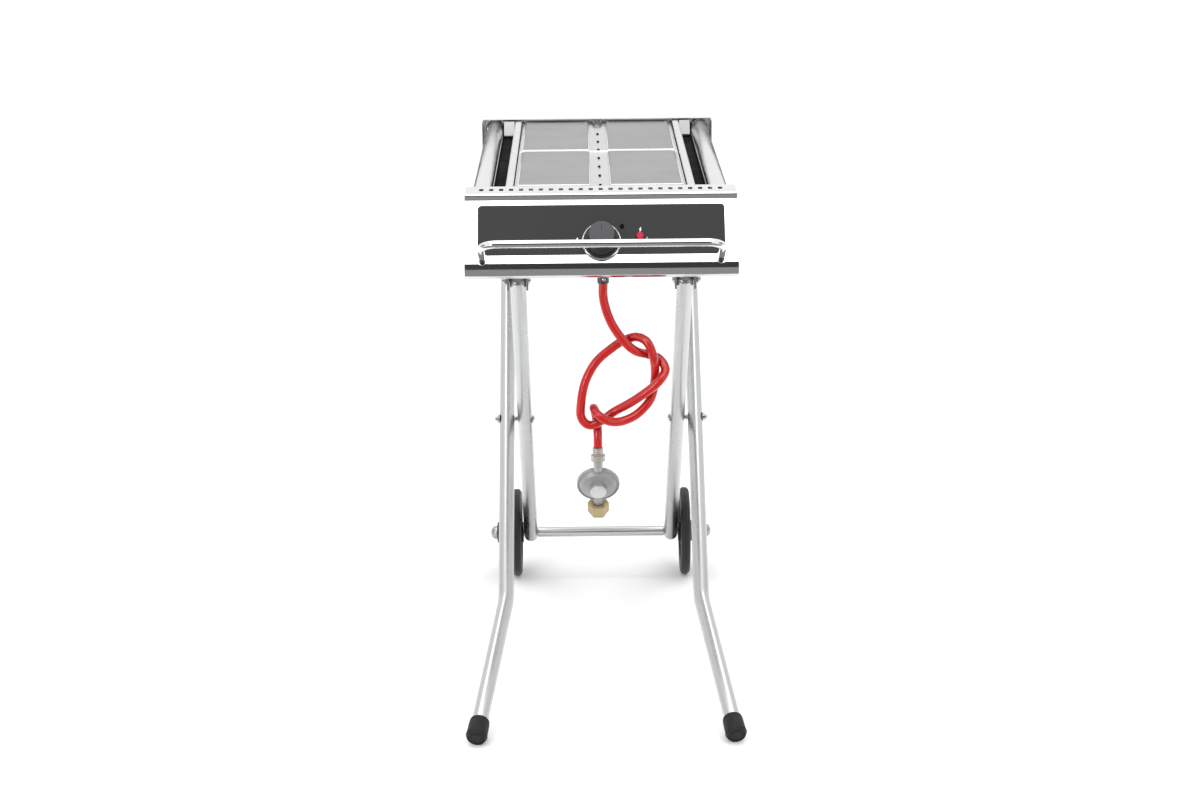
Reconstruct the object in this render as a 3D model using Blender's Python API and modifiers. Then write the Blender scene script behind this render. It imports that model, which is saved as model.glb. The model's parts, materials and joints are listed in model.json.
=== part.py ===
"""Portable gas grill: a burner head on a folding X-leg stand with two wheels, a hose and a regulator.

Metres, +Z up, the front faces -Y, and X = 0 is the plane of symmetry. The origin is on the floor.
"""
import math

import bmesh
import bpy
from mathutils import Matrix, Vector

GAP = 0.0003            # clearance between pieces that touch
SHEET = 0.0012          # sheet steel of the head
SIDES = (("left", -1), ("right", 1))

# burner head
TOP_Z = 0.823           # top of the front lip, the side rails and the rear lip
BOTTOM_Z = 0.703        # underside of the head
HALF_WIDTH = 0.205
LIP_BACK_Y = -0.216
LIP_DEPTH = 0.057
PANEL_RUN = 0.058       # how far the control panel comes forward as it goes down
PANEL_DROP = 0.096
LIP_STEP = 0.0115       # down the panel to where the lip's front drop meets it
REAR_Y = 0.456
REAR_LIP = 0.010
SLOT_COUNT = 25
SLOT_PITCH = 0.0151
SLOT_SIZE = (0.0055, 0.014)

LIP_FRONT_Y = LIP_BACK_Y - LIP_DEPTH
PANEL_FOOT_Y = LIP_FRONT_Y - PANEL_RUN
PANEL_FOOT_Z = TOP_Z - PANEL_DROP
PANEL_LENGTH = math.hypot(PANEL_RUN, PANEL_DROP)
PANEL_TILT = math.atan2(PANEL_RUN, PANEL_DROP)
PANEL_DOWN = Vector((0, -math.sin(PANEL_TILT), -math.cos(PANEL_TILT)))
PANEL_OUT = Vector((0, -math.cos(PANEL_TILT), math.sin(PANEL_TILT)))

# controls, as (across, down the panel)
FASCIA_SIZE = (0.371, 0.0788)
FASCIA_DOWN = 0.0594
KNOB_AT = (0.0, 0.0785)
KNOB_RADIUS = 0.020
KNOB_HEIGHT = 0.032
KNOB_LIFT = 0.004       # the gap below the knob, which it closes when it is pushed in
BEZEL_RADIUS = 0.030
STEM_RADIUS = 0.004
PIEZO_AT = (0.0578, 0.0732)
PIEZO_RADIUS = 0.0057
PIEZO_TRAVEL = 0.004
HANDLE_AT = (0.179, 0.1052)
HANDLE_OUT = 0.068
HANDLE_BEND = 0.024
HANDLE_ROD = 0.006

# burner deck
CASSETTE_HALF = 0.146
RAIL_STRIP = 0.012
DECK_HALF = 0.1325
DECK_Z = 0.816
DECK_FRONT_Y = LIP_BACK_Y + 0.010
DECK_BACK_Y = REAR_Y - 0.0035
PLATE_SIZE = (0.108, 0.308, 0.0025)
PLATE_FRONT_GAP = 0.026 # from the front of the deck to the front plates
PLATE_CROSS_GAP = 0.016 # between the front and the rear plates
PLATE_X = 0.0715
STRIP_HOLES = 7
STRIP_HOLE_PITCH = 0.082
SIDE_RAIL_X = 0.183
SIDE_RAIL_RADIUS = 0.0145
SIDE_WALL_X = 0.1685
GUTTER_Z = 0.793        # the dark shelf beside the burner deck
BURNER_X = 0.070
BURNER_Z = 0.775
BURNER_RADIUS = 0.019

# stand
TUBE = 0.0125
PIVOT = (0.046, 0.379)          # (Y, Z) of the bolts where the legs cross
FRONT_HINGE = (-0.250, 0.683)
REAR_SADDLE = (0.342, 0.683)
WHEEL_RADIUS = 0.080
WHEEL_WIDTH = 0.018
WHEEL_X = 0.153
WHEEL_LEG_X = 0.128
FOOT_LEG_X = 0.158
FOOT_KNEE_REACH = 0.334         # from the pivot to the bend of the foot leg
FOOT_TIP = (0.198, -0.4436, 0.0162)
FOOT_CAP_RADIUS = 0.017
CROSS_TUBE = 0.009

# gas supply
HOSE_RADIUS = 0.007
ELBOW_AT = (0.002, -0.300)


def body(name, mesh):
    piece = bpy.data.objects.new(name, mesh)
    PARTS.objects.link(piece)
    return piece


def remove_everything():
    for old in list(bpy.data.objects):
        bpy.data.objects.remove(old)


def paint(pieces, colour, roughness, metallic=0.0):
    name = "finish_%02d" % len(bpy.data.materials)
    material = bpy.data.materials.new(name)
    material.use_nodes = True
    shader = material.node_tree.nodes["Principled BSDF"]
    shader.inputs["Base Color"].default_value = (*colour, 1.0)
    shader.inputs["Roughness"].default_value = roughness
    shader.inputs["Metallic"].default_value = metallic
    for piece in pieces:
        piece.data.materials.clear()
        piece.data.materials.append(material)


def from_bmesh(name, mesh):
    data = bpy.data.meshes.new(name)
    bmesh.ops.recalc_face_normals(mesh, faces=mesh.faces)
    mesh.to_mesh(data)
    mesh.free()
    return body(name, data)


def smooth(piece, angle=40):
    piece.data.shade_smooth()
    piece.data.set_sharp_from_angle(angle=math.radians(angle))
    return piece


def block(name, low, high):
    mesh = bmesh.new()
    bmesh.ops.create_cube(mesh, size=1.0)
    size = [b - a for a, b in zip(low, high)]
    middle = [(a + b) / 2 for a, b in zip(low, high)]
    bmesh.ops.transform(mesh, matrix=Matrix.LocRotScale(Vector(middle), None, Vector(size)), verts=mesh.verts)
    return from_bmesh(name, mesh)


def bevelled(piece, width, segments=2):
    bevel = piece.modifiers.new("rounded_edges", "BEVEL")
    bevel.width = width
    bevel.segments = segments
    bevel.limit_method = "ANGLE"
    return piece


def facing(direction):
    return Vector((0, 0, 1)).rotation_difference(Vector(direction)).to_matrix().to_4x4()


def rod(name, start, end, radius, sides=24, end_radius=None):
    start, end = Vector(start), Vector(end)
    mesh = bmesh.new()
    bmesh.ops.create_cone(mesh, cap_ends=True, segments=sides, radius1=radius,
                          radius2=radius if end_radius is None else end_radius, depth=(end - start).length)
    place = Matrix.Translation((start + end) / 2) @ facing(end - start)
    bmesh.ops.transform(mesh, matrix=place, verts=mesh.verts)
    return smooth(from_bmesh(name, mesh))


def turned(name, profile, base, axis, sides=32):
    """A solid turned about `axis`: the profile is (radius, height) from its top to its bottom."""
    mesh = bmesh.new()
    closed = profile[0] == profile[-1]
    points = [mesh.verts.new((radius, 0, height)) for radius, height in (profile[1:] if closed else profile)]
    for upper, lower in zip([points[-1]] * closed + points, points[1 - closed:]):
        mesh.edges.new((upper, lower))
    data = bpy.data.meshes.new(name)
    mesh.to_mesh(data)
    mesh.free()
    piece = body(name, data)
    spin = piece.modifiers.new("turned", "SCREW")
    spin.steps = sides
    spin.render_steps = sides
    spin.use_merge_vertices = True
    spin.merge_threshold = 0.00001
    piece.matrix_world = Matrix.Translation(Vector(base)) @ facing(axis)
    return piece


def ring_profile(outer, inner, low, high, edge=0.0006):
    """A closed ring section, for a part with a hole through it."""
    return [(inner, high), (outer - edge, high), (outer, high - edge), (outer, low), (inner, low), (inner, high)]


def tube(name, points, radius, closed_bends=0.0, sides=3):
    """A round bar or solid tube along straight runs with rounded bends."""
    curve = bpy.data.curves.new(name, "CURVE")
    curve.dimensions = "3D"
    curve.bevel_depth = radius
    curve.bevel_resolution = sides
    curve.use_fill_caps = True
    line = rounded(points, closed_bends)
    spline = curve.splines.new("POLY")
    spline.points.add(len(line) - 1)
    for point, place in zip(spline.points, line):
        point.co = (*place, 1.0)
    guide = body(name + "_line", curve)
    bpy.context.view_layer.update()
    data = bpy.data.meshes.new_from_object(guide.evaluated_get(bpy.context.evaluated_depsgraph_get()))
    bpy.data.objects.remove(guide)
    mesh = bmesh.new()
    mesh.from_mesh(data)
    bmesh.ops.remove_doubles(mesh, verts=mesh.verts, dist=0.00001)
    return smooth(from_bmesh(name, mesh), 50)


def rounded(points, radius, steps=5):
    """The points of a bent line whose corners are arcs of `radius`."""
    points = [Vector(point) for point in points]
    if not radius:
        return points
    line = [points[0]]
    for before, corner, after in zip(points, points[1:], points[2:]):
        back = (before - corner).normalized()
        on = (after - corner).normalized()
        half = back.angle(on) / 2
        reach = radius / math.tan(half)
        centre = corner + (back + on).normalized() * radius / math.sin(half)
        first = (corner + back * reach - centre).normalized()
        last = (corner + on * reach - centre).normalized()
        for step in range(steps + 1):
            line.append(centre + first.slerp(last, step / steps) * radius)
    return line + [points[-1]]


def folded(name, outline, half_width, thickness=SHEET, inward=1):
    """Sheet steel folded along X: an open (Y, Z) outline, given its thickness by Solidify."""
    mesh = bmesh.new()
    rows = [[mesh.verts.new((x, y, z)) for y, z in outline] for x in (-half_width, half_width)]
    for index in range(len(outline) - 1):
        mesh.faces.new((rows[0][index], rows[0][index + 1], rows[1][index + 1], rows[1][index]))
    piece = from_sheet(name, mesh)
    shell = piece.modifiers.new("sheet", "SOLIDIFY")
    shell.thickness = thickness
    shell.offset = inward
    shell.use_even_offset = True
    return piece


def from_sheet(name, mesh):
    data = bpy.data.meshes.new(name)
    mesh.to_mesh(data)
    mesh.free()
    return body(name, data)


def cut(piece, cutter, operation="DIFFERENCE"):
    CUTTERS.objects.link(cutter)
    PARTS.objects.unlink(cutter)
    cutter.hide_render = True
    cutter.display_type = "WIRE"
    step = piece.modifiers.new(cutter.name, "BOOLEAN")
    step.operation = operation
    step.object = cutter


def merged(name, meshes):
    """Several separate bodies as one cutter mesh."""
    mesh = bmesh.new()
    for piece in meshes:
        mesh.from_mesh(piece.data)
        bpy.data.objects.remove(piece)
    return from_bmesh(name, mesh)


def joined(piece, *others):
    """One solid from overlapping pieces."""
    for other in others:
        cut(piece, other, "UNION")
    return piece


def on_panel(across, down, out=0.0):
    start = Vector((across, LIP_FRONT_Y, TOP_Z))
    return start + PANEL_DOWN * down + PANEL_OUT * out


def console():
    step = on_panel(0, LIP_STEP)
    corner = [Vector((0, y, z)) for y, z in (
        (LIP_BACK_Y, TOP_Z), (step.y, TOP_Z), (step.y, step.z), (PANEL_FOOT_Y, PANEL_FOOT_Z),
        (PANEL_FOOT_Y - 0.0022, PANEL_FOOT_Z - 0.010), (PANEL_FOOT_Y + 0.003, BOTTOM_Z),
        (LIP_BACK_Y + 0.020, BOTTOM_Z))]
    outline = [(point.y, point.z) for point in rounded(corner, 0.0022, 3)]
    shell = folded("console_shell", outline, HALF_WIDTH, inward=-1)
    holes = [rod("stem_hole", on_panel(*KNOB_AT, -0.01), on_panel(*KNOB_AT, 0.01), 0.0065, 16),
             rod("piezo_hole", on_panel(*PIEZO_AT, -0.01), on_panel(*PIEZO_AT, 0.01), 0.0075, 16)]
    for name, side in SIDES:
        at = (side * HANDLE_AT[0], HANDLE_AT[1])
        holes.append(rod("handle_hole_" + name, on_panel(*at, -0.01), on_panel(*at, 0.01), HANDLE_ROD + 0.0005, 16))
    holes.append(rod("gas_hole", (*ELBOW_AT, BOTTOM_Z - 0.01), (*ELBOW_AT, BOTTOM_Z + 0.01), 0.0095, 16))
    first = -(SLOT_COUNT - 1) / 2 * SLOT_PITCH
    middle = LIP_BACK_Y - LIP_DEPTH / 2
    for index in range(SLOT_COUNT):
        x = first + index * SLOT_PITCH
        low = (x - SLOT_SIZE[0] / 2, middle - SLOT_SIZE[1] / 2, TOP_Z - 0.01)
        high = (x + SLOT_SIZE[0] / 2, middle + SLOT_SIZE[1] / 2, TOP_Z + 0.01)
        holes.append(block("slot_%d" % index, low, high))
    cut(shell, merged("console_holes", holes))

    cheeks = []
    inset = SHEET + GAP
    flat = [(LIP_BACK_Y + 0.001, TOP_Z - inset), (LIP_FRONT_Y + 0.004, TOP_Z - inset),
            (PANEL_FOOT_Y + 0.005, PANEL_FOOT_Z + 0.002), (PANEL_FOOT_Y + 0.005, BOTTOM_Z + 0.008),
            (PANEL_FOOT_Y + 0.010, BOTTOM_Z + inset), (LIP_BACK_Y + 0.001, BOTTOM_Z + inset)]
    for name, side in SIDES:
        x = side * (HALF_WIDTH - 0.0015)
        cheeks.append(flat_plate("console_cheek_" + name, [(x, y, z) for y, z in flat]))
    return [shell] + cheeks


def flat_plate(name, corners, thickness=SHEET):
    """A flat plate: one face through `corners`, thickened to both sides."""
    mesh = bmesh.new()
    mesh.faces.new([mesh.verts.new(corner) for corner in corners])
    plate = from_sheet(name, mesh)
    sheet = plate.modifiers.new("sheet", "SOLIDIFY")
    sheet.thickness = thickness
    sheet.offset = 0
    return plate


def fascia():
    half_x, half_y, corner = FASCIA_SIZE[0] / 2, FASCIA_SIZE[1] / 2, 0.006
    box = [Vector(p) for p in ((0, -half_y, 0), (half_x, -half_y, 0), (half_x, half_y, 0), (-half_x, half_y, 0),
                               (-half_x, -half_y, 0), (-0.001, -half_y, 0))]
    outline = [on_panel(point.x, FASCIA_DOWN - point.y, GAP + 0.0005) for point in rounded(box, corner, 4)]
    plate = flat_plate("control_fascia", outline, 0.001)
    holes = [rod("fascia_stem_hole", on_panel(*KNOB_AT, -0.01), on_panel(*KNOB_AT, 0.01), 0.0065, 16),
             rod("fascia_piezo_hole", on_panel(*PIEZO_AT, -0.01), on_panel(*PIEZO_AT, 0.01), 0.0075, 16)]
    cut(plate, merged("fascia_holes", holes))
    return plate


def controls():
    face = 0.0016
    bezel = turned("knob_bezel", ring_profile(BEZEL_RADIUS, BEZEL_RADIUS - 0.0035, 0, 0.0025),
                   on_panel(*KNOB_AT, face), PANEL_OUT, 40)
    base = face + KNOB_LIFT
    bore = STEM_RADIUS + GAP
    top = KNOB_HEIGHT
    knob = turned("knob", [(0, top), (KNOB_RADIUS - 0.004, top), (KNOB_RADIUS - 0.001, top - 0.0015),
                           (KNOB_RADIUS, top - 0.005), (KNOB_RADIUS + 0.003, 0.003), (KNOB_RADIUS + 0.003, 0),
                           (bore, 0), (bore, 0.018), (0, 0.018)],
                  on_panel(*KNOB_AT, base), PANEL_OUT, 40)
    stem = rod("valve_stem", on_panel(*KNOB_AT, -0.012), on_panel(*KNOB_AT, base + 0.0177), STEM_RADIUS, 16)
    valve = rod("gas_valve", on_panel(*KNOB_AT, -0.052), on_panel(*KNOB_AT, -0.0123 - KNOB_LIFT), 0.013, 20)
    button = turned("piezo_button", [(0, 0.010), (PIEZO_RADIUS - 0.001, 0.010), (PIEZO_RADIUS, 0.009),
                                     (PIEZO_RADIUS, -0.003), (0, -0.003)],
                    on_panel(*PIEZO_AT, face), PANEL_OUT, 20)
    igniter = turned("piezo_igniter", [(0, -0.008), (0.0062, -0.008), (0.0062, 0.0026), (0.0072, 0.0026),
                                       (0.0072, -0.030), (0, -0.030)],
                     on_panel(*PIEZO_AT, face), PANEL_OUT, 20)
    return {"bezel": bezel, "knob": knob, "stem": stem, "valve": valve, "button": button, "igniter": igniter}


def handle():
    across, down = HANDLE_AT
    inside = -0.008
    corners = [on_panel(-across, down, inside), on_panel(-across, down, HANDLE_OUT),
               on_panel(across, down, HANDLE_OUT), on_panel(across, down, inside)]
    bar = tube("front_handle", corners, HANDLE_ROD, HANDLE_BEND)
    nuts = []
    for name, side in SIDES:
        at = (side * across, down)
        nuts.append(turned("handle_nut_" + name, ring_profile(0.0082, HANDLE_ROD + GAP, -0.0065, -0.0020),
                           on_panel(*at), PANEL_OUT, 24))
    return bar, nuts


def rear_plate():
    lip_front = REAR_Y - REAR_LIP
    outline = [(lip_front, TOP_Z), (REAR_Y, TOP_Z), (REAR_Y, BOTTOM_Z), (REAR_Y - 0.020, BOTTOM_Z)]
    plate = folded("rear_plate", outline, HALF_WIDTH, inward=1)
    flanges = []
    for name, side in SIDES:
        x = sorted((side * HALF_WIDTH, side * (HALF_WIDTH - SHEET)))
        flanges.append(block("rear_flange_" + name, (x[0], REAR_Y - 0.035, BOTTOM_Z),
                             (x[1], REAR_Y - 0.0004, TOP_Z - 0.0004)))
    return joined(plate, *flanges)


def head_frame():
    pieces = []
    front = LIP_BACK_Y + 0.0005
    back = REAR_Y - SHEET - GAP
    rail_z = TOP_Z - SIDE_RAIL_RADIUS - SHEET - 0.002
    for name, side in SIDES:
        x = side * SIDE_RAIL_X
        pieces.append(rod("side_rail_" + name, (x, front, rail_z), (x, back, rail_z), SIDE_RAIL_RADIUS, 28))
        wall = sorted((side * SIDE_WALL_X, side * (SIDE_WALL_X - SHEET)))
        panel = block("side_wall_" + name, (wall[0], front, BOTTOM_Z + 0.0018), (wall[1], back, rail_z - 0.004))
        inner = sorted((side * (CASSETTE_HALF + GAP), side * (SIDE_WALL_X - SHEET / 2)))
        shelf = block("gutter_shelf_" + name, (inner[0], front + 0.0004, GUTTER_Z - SHEET),
                      (inner[1], back - 0.0004, GUTTER_Z))
        pieces.append(joined(panel, shelf))
        strip = sorted((side * CASSETTE_HALF, side * (CASSETTE_HALF - RAIL_STRIP)))
        channel = block("cassette_rail_" + name, (strip[0], front, BOTTOM_Z + 0.0033),
                        (strip[1], back, TOP_Z - SHEET - 0.001))
        pieces.append(bevelled(channel, 0.002))
    pan = block("floor_pan", (-HALF_WIDTH + 0.004, LIP_BACK_Y + 0.022, BOTTOM_Z + 0.0001),
                (HALF_WIDTH - 0.004, REAR_Y - 0.022, BOTTOM_Z + 0.0015))
    return pieces, pan


def deck():
    sheet = block("burner_deck", (-DECK_HALF, DECK_FRONT_Y, DECK_Z - SHEET), (DECK_HALF, DECK_BACK_Y, DECK_Z))
    holes = []
    first = DECK_FRONT_Y + 0.030
    for index in range(STRIP_HOLES):
        y = first + index * STRIP_HOLE_PITCH
        holes.append(rod("strip_hole_%d" % index, (0, y, DECK_Z - 0.01), (0, y, DECK_Z + 0.01), 0.0028, 12))
    cut(sheet, merged("strip_holes", holes))
    plates = []
    front_centre = DECK_FRONT_Y + PLATE_FRONT_GAP + PLATE_SIZE[1] / 2
    for end, centre in (("front", front_centre), ("rear", front_centre + PLATE_SIZE[1] + PLATE_CROSS_GAP)):
        for name, side in SIDES:
            x = side * PLATE_X
            low = (x - PLATE_SIZE[0] / 2, centre - PLATE_SIZE[1] / 2, DECK_Z + GAP)
            high = (x + PLATE_SIZE[0] / 2, centre + PLATE_SIZE[1] / 2, DECK_Z + GAP + PLATE_SIZE[2])
            plates.append(bevelled(block("radiant_plate_%s_%s" % (end, name), low, high), 0.0008, 1))
    clip_y = REAR_Y - 0.013
    clip = tube("rear_clip", [(-0.006, clip_y, DECK_Z + 0.004), (-0.006, clip_y - 0.030, DECK_Z + 0.004),
                              (0.006, clip_y - 0.030, DECK_Z + 0.004), (0.006, clip_y, DECK_Z + 0.004)],
                0.0016, 0.004, 1)
    return sheet, plates, clip


def burners():
    pieces = []
    manifold_y = LIP_BACK_Y - 0.030
    for name, side in SIDES:
        x = side * BURNER_X
        pieces.append(rod("burner_tube_" + name, (x, DECK_FRONT_Y, BURNER_Z), (x, DECK_BACK_Y - 0.0185, BURNER_Z),
                          BURNER_RADIUS, 20))
        pieces.append(rod("injector_" + name, (x, manifold_y + 0.0083, BURNER_Z), (x, manifold_y + 0.028, BURNER_Z),
                          0.006, 12, 0.003))
    manifold = rod("gas_manifold", (-BURNER_X - 0.012, manifold_y, BURNER_Z),
                   (BURNER_X + 0.012, manifold_y, BURNER_Z), 0.008, 16)
    electrode = tube("ignition_electrode", [(0.030, DECK_FRONT_Y + 0.02, BURNER_Z - 0.03),
                                            (0.030, DECK_FRONT_Y + 0.02, BURNER_Z + 0.014),
                                            (0.038, DECK_FRONT_Y + 0.03, BURNER_Z + 0.028)], 0.002, 0.004, 1)
    return pieces, manifold, electrode


def leg_direction():
    run = Vector((0, PIVOT[0] - FRONT_HINGE[0], PIVOT[1] - FRONT_HINGE[1]))
    return run.normalized()


def wheel_legs():
    down = leg_direction()
    hinge = Vector((0, *FRONT_HINGE))
    pieces = []
    axle = hinge + down * ((FRONT_HINGE[1] - WHEEL_RADIUS) / -down.z)
    for name, side in SIDES:
        offset = Vector((side * WHEEL_LEG_X, 0, 0))
        leg = rod("wheel_leg_" + name, hinge - down * 0.009 + offset, axle + down * 0.016 + offset, TUBE, 24)
        bores = [rod("hinge_bore_" + name, hinge + Vector((side * 0.08, 0, 0)), hinge + Vector((side * 0.2, 0, 0)),
                     0.0043, 12),
                 rod("pivot_bore_" + name, Vector((side * 0.08, *PIVOT)), Vector((side * 0.2, *PIVOT)), 0.0043, 12),
                 rod("axle_bore_" + name, axle + Vector((side * 0.08, 0, 0)), axle + Vector((side * 0.2, 0, 0)),
                     0.0063, 12)]
        cut(leg, merged("wheel_leg_bores_" + name, bores))
        pieces.append(leg)
    reach = WHEEL_LEG_X - TUBE - GAP
    cross = rod("axle_tube", axle - Vector((reach, 0, 0)), axle + Vector((reach, 0, 0)), CROSS_TUBE, 20)
    bore = rod("axle_tube_bore", axle - Vector((reach + 0.01, 0, 0)), axle + Vector((reach + 0.01, 0, 0)), 0.0063, 12)
    cut(cross, bore)
    shaft = rod("axle_rod", axle - Vector((0.196, 0, 0)), axle + Vector((0.196, 0, 0)), 0.006, 16)
    return pieces, cross, shaft, axle


def wheels(axle):
    made, caps = [], []
    radius, half = WHEEL_RADIUS, WHEEL_WIDTH / 2
    bore = 0.0063
    inner_hub = WHEEL_X - WHEEL_LEG_X - TUBE - 0.0008
    outer_hub = 0.036
    for name, side in SIDES:
        profile = [(bore, outer_hub), (0.019, outer_hub), (0.019, half), (radius - 0.016, half),
                   (radius - 0.004, half - 0.001), (radius, half - 0.005), (radius, -half + 0.005),
                   (radius - 0.004, -half + 0.001), (radius - 0.016, -half), (0.019, -half),
                   (0.019, -inner_hub), (bore, -inner_hub), (bore, outer_hub)]
        centre = axle + Vector((side * WHEEL_X, 0, 0))
        made.append(turned("wheel_" + name, profile, centre, (side, 0, 0), 48))
        cap_at = axle + Vector((side * (WHEEL_X + outer_hub + GAP), 0, 0))
        cap = [(0, 0.012), (0.006, 0.0105), (0.011, 0.006), (0.0125, 0), (bore, 0), (bore, 0.0075), (0, 0.0075)]
        caps.append(turned("hub_cap_" + name, cap, cap_at, (side, 0, 0), 24))
    return made, caps


def foot_legs():
    down = leg_direction()
    slope = Vector((0, -down.y, down.z))
    pivot = Vector((0, *PIVOT))
    legs, caps = [], []
    for name, side in SIDES:
        offset = Vector((side * FOOT_LEG_X, 0, 0))
        top = Vector((0, *REAR_SADDLE)) - slope * 0.014 + offset
        knee = pivot + slope * FOOT_KNEE_REACH + offset
        tip = Vector((side * FOOT_TIP[0], FOOT_TIP[1], FOOT_TIP[2]))
        leg = tube("foot_leg_" + name, [top, knee, tip], TUBE, 0.060, 4)
        bores = [rod("foot_pivot_bore_" + name, Vector((side * 0.1, *PIVOT)), Vector((side * 0.2, *PIVOT)), 0.0043, 12),
                 rod("cross_bore_" + name, Vector((side * 0.1, *REAR_SADDLE)), Vector((side * 0.2, *REAR_SADDLE)),
                     CROSS_TUBE + GAP, 20)]
        cut(leg, merged("foot_leg_bores_" + name, bores))
        legs.append(leg)
        along = (tip - knee).normalized()
        sleeve, wall = 0.030, 0.006
        profile = [(0, -sleeve), (TUBE + GAP, -sleeve), (TUBE + GAP, 0), (FOOT_CAP_RADIUS - 0.002, 0),
                   (FOOT_CAP_RADIUS - 0.001, -0.002), (FOOT_CAP_RADIUS, -sleeve),
                   (FOOT_CAP_RADIUS - 0.002, -sleeve - wall), (0, -sleeve - wall)]
        caps.append(turned("foot_cap_" + name, profile, tip - along * (sleeve - GAP), -along, 28))
    cross = rod("top_cross_tube", (-FOOT_LEG_X - 0.02, *REAR_SADDLE), (FOOT_LEG_X + 0.02, *REAR_SADDLE), CROSS_TUBE, 20)
    return legs, caps, cross


def stand_fittings():
    pieces = []
    under = BOTTOM_Z - GAP
    for name, side in SIDES:
        x = side * WHEEL_LEG_X
        hinge = Vector((x, *FRONT_HINGE))
        cheeks = []
        for label, place in (("inner", -1), ("outer", 1)):
            centre = x + place * (TUBE + 0.0022)
            cheeks.append(block("front_cheek_%s_%s" % (label, name), (centre - 0.0015, hinge.y - 0.016, hinge.z - 0.012),
                                (centre + 0.0015, hinge.y + 0.016, under - 0.001)))
        bridge = block("front_bracket_" + name, (x - TUBE - 0.0037, hinge.y - 0.016, under - 0.003),
                       (x + TUBE + 0.0037, hinge.y + 0.016, under))
        joined(bridge, *cheeks)
        bore = rod("front_bracket_bore_" + name, hinge - Vector((0.03, 0, 0)), hinge + Vector((0.03, 0, 0)), 0.0043, 12)
        cut(bridge, bore)
        pieces.append(bridge)
        pieces.append(dome_bolt("hinge_bolt_" + name, hinge, side, TUBE + 0.0040))
        saddle_x = side * 0.110
        saddle = Vector((saddle_x, *REAR_SADDLE))
        arm = block("rear_saddle_" + name, (saddle_x - 0.010, saddle.y - 0.022, saddle.z - CROSS_TUBE - 0.0036),
                    (saddle_x + 0.010, saddle.y + 0.030, under))
        slot = block("saddle_slot_" + name, (saddle_x - 0.02, saddle.y - 0.0105, saddle.z - CROSS_TUBE - 0.0006),
                     (saddle_x + 0.02, saddle.y + 0.04, saddle.z + CROSS_TUBE + 0.0006))
        cut(arm, slot)
        pieces.append(arm)
        middle = Vector((side * (WHEEL_LEG_X + FOOT_LEG_X) / 2, *PIVOT))
        pieces.append(dome_bolt("pivot_bolt_" + name, middle, side, (FOOT_LEG_X - WHEEL_LEG_X) / 2 + TUBE + 0.0004))
    return pieces


def dome_bolt(name, centre, side, reach):
    """A bolt across a joint with a low round head inside and a domed nut outside."""
    bolt = rod(name, centre - Vector((side * (reach - 0.001), 0, 0)), centre + Vector((side * (reach - 0.001), 0, 0)),
               0.004, 12)
    head = turned(name + "_head", [(0, 0.004), (0.004, 0.0032), (0.007, 0), (0, 0)],
                  centre - Vector((side * reach, 0, 0)), (-side, 0, 0), 16)
    nut = turned(name + "_nut", [(0, 0.008), (0.003, 0.0072), (0.0055, 0.004), (0.0065, 0.0035), (0.0065, 0), (0, 0)],
                 centre + Vector((side * reach, 0, 0)), (side, 0, 0), 12)
    link = rod(name + "_neck", centre - Vector((side * (reach + 0.001), 0, 0)),
               centre + Vector((side * (reach + 0.001), 0, 0)), 0.0039, 12)
    return joined(bolt, head, nut, link)


# the hose's route, from the elbow under the head to the union on the regulator
HOSE_ROUTE = (
    (0.002, -0.300, 0.6895), (0.002, -0.300, 0.668), (0.007, -0.301, 0.645), (0.017, -0.304, 0.622),
    (0.034, -0.309, 0.599), (0.051, -0.306, 0.584), (0.070, -0.292, 0.575), (0.087, -0.292, 0.568),
    (0.096, -0.300, 0.553), (0.086, -0.309, 0.537), (0.066, -0.306, 0.519), (0.042, -0.300, 0.501),
    (0.017, -0.293, 0.485), (-0.003, -0.298, 0.472), (-0.020, -0.300, 0.466), (-0.032, -0.301, 0.476),
    (-0.034, -0.300, 0.495), (-0.027, -0.298, 0.533), (-0.010, -0.294, 0.564), (0.014, -0.291, 0.585),
    (0.033, -0.291, 0.597), (0.052, -0.297, 0.604), (0.068, -0.306, 0.598), (0.077, -0.309, 0.577),
    (0.080, -0.299, 0.556), (0.080, -0.291, 0.535), (0.077, -0.292, 0.515), (0.069, -0.297, 0.499),
    (0.050, -0.303, 0.482), (0.027, -0.309, 0.474), (0.008, -0.316, 0.477), (-0.008, -0.314, 0.487),
    (-0.014, -0.299, 0.493), (-0.012, -0.284, 0.483), (-0.009, -0.282, 0.465), (-0.008, -0.289, 0.447),
    (-0.008, -0.290, 0.428))
HOSE_STEP = 0.013
UNION_LENGTH = 0.030
REGULATOR_TILT = math.radians(27)
REGULATOR_RADIUS = 0.0335


def smooth_route(points, step):
    """Evenly spaced points on a Catmull-Rom curve through `points`."""
    points = [Vector(point) for point in points]
    ends = [points[0] * 2 - points[1]] + points + [points[-1] * 2 - points[-2]]
    fine = []
    for a, b, c, d in zip(ends, ends[1:], ends[2:], ends[3:]):
        for index in range(24):
            t = index / 24
            fine.append(0.5 * (2 * b + (c - a) * t + (2 * a - 5 * b + 4 * c - d) * t * t
                               + (3 * b - a - 3 * c + d) * t ** 3))
    fine.append(points[-1])
    total = sum((after - before).length for before, after in zip(fine, fine[1:]))
    count = round(total / step)
    line, walked, target = [fine[0]], 0.0, total / count
    for before, after in zip(fine, fine[1:]):
        length = (after - before).length
        while len(line) < count and walked + length >= target * len(line):
            line.append(before.lerp(after, (target * len(line) - walked) / length))
        walked += length
    return line + [fine[-1]]


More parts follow.
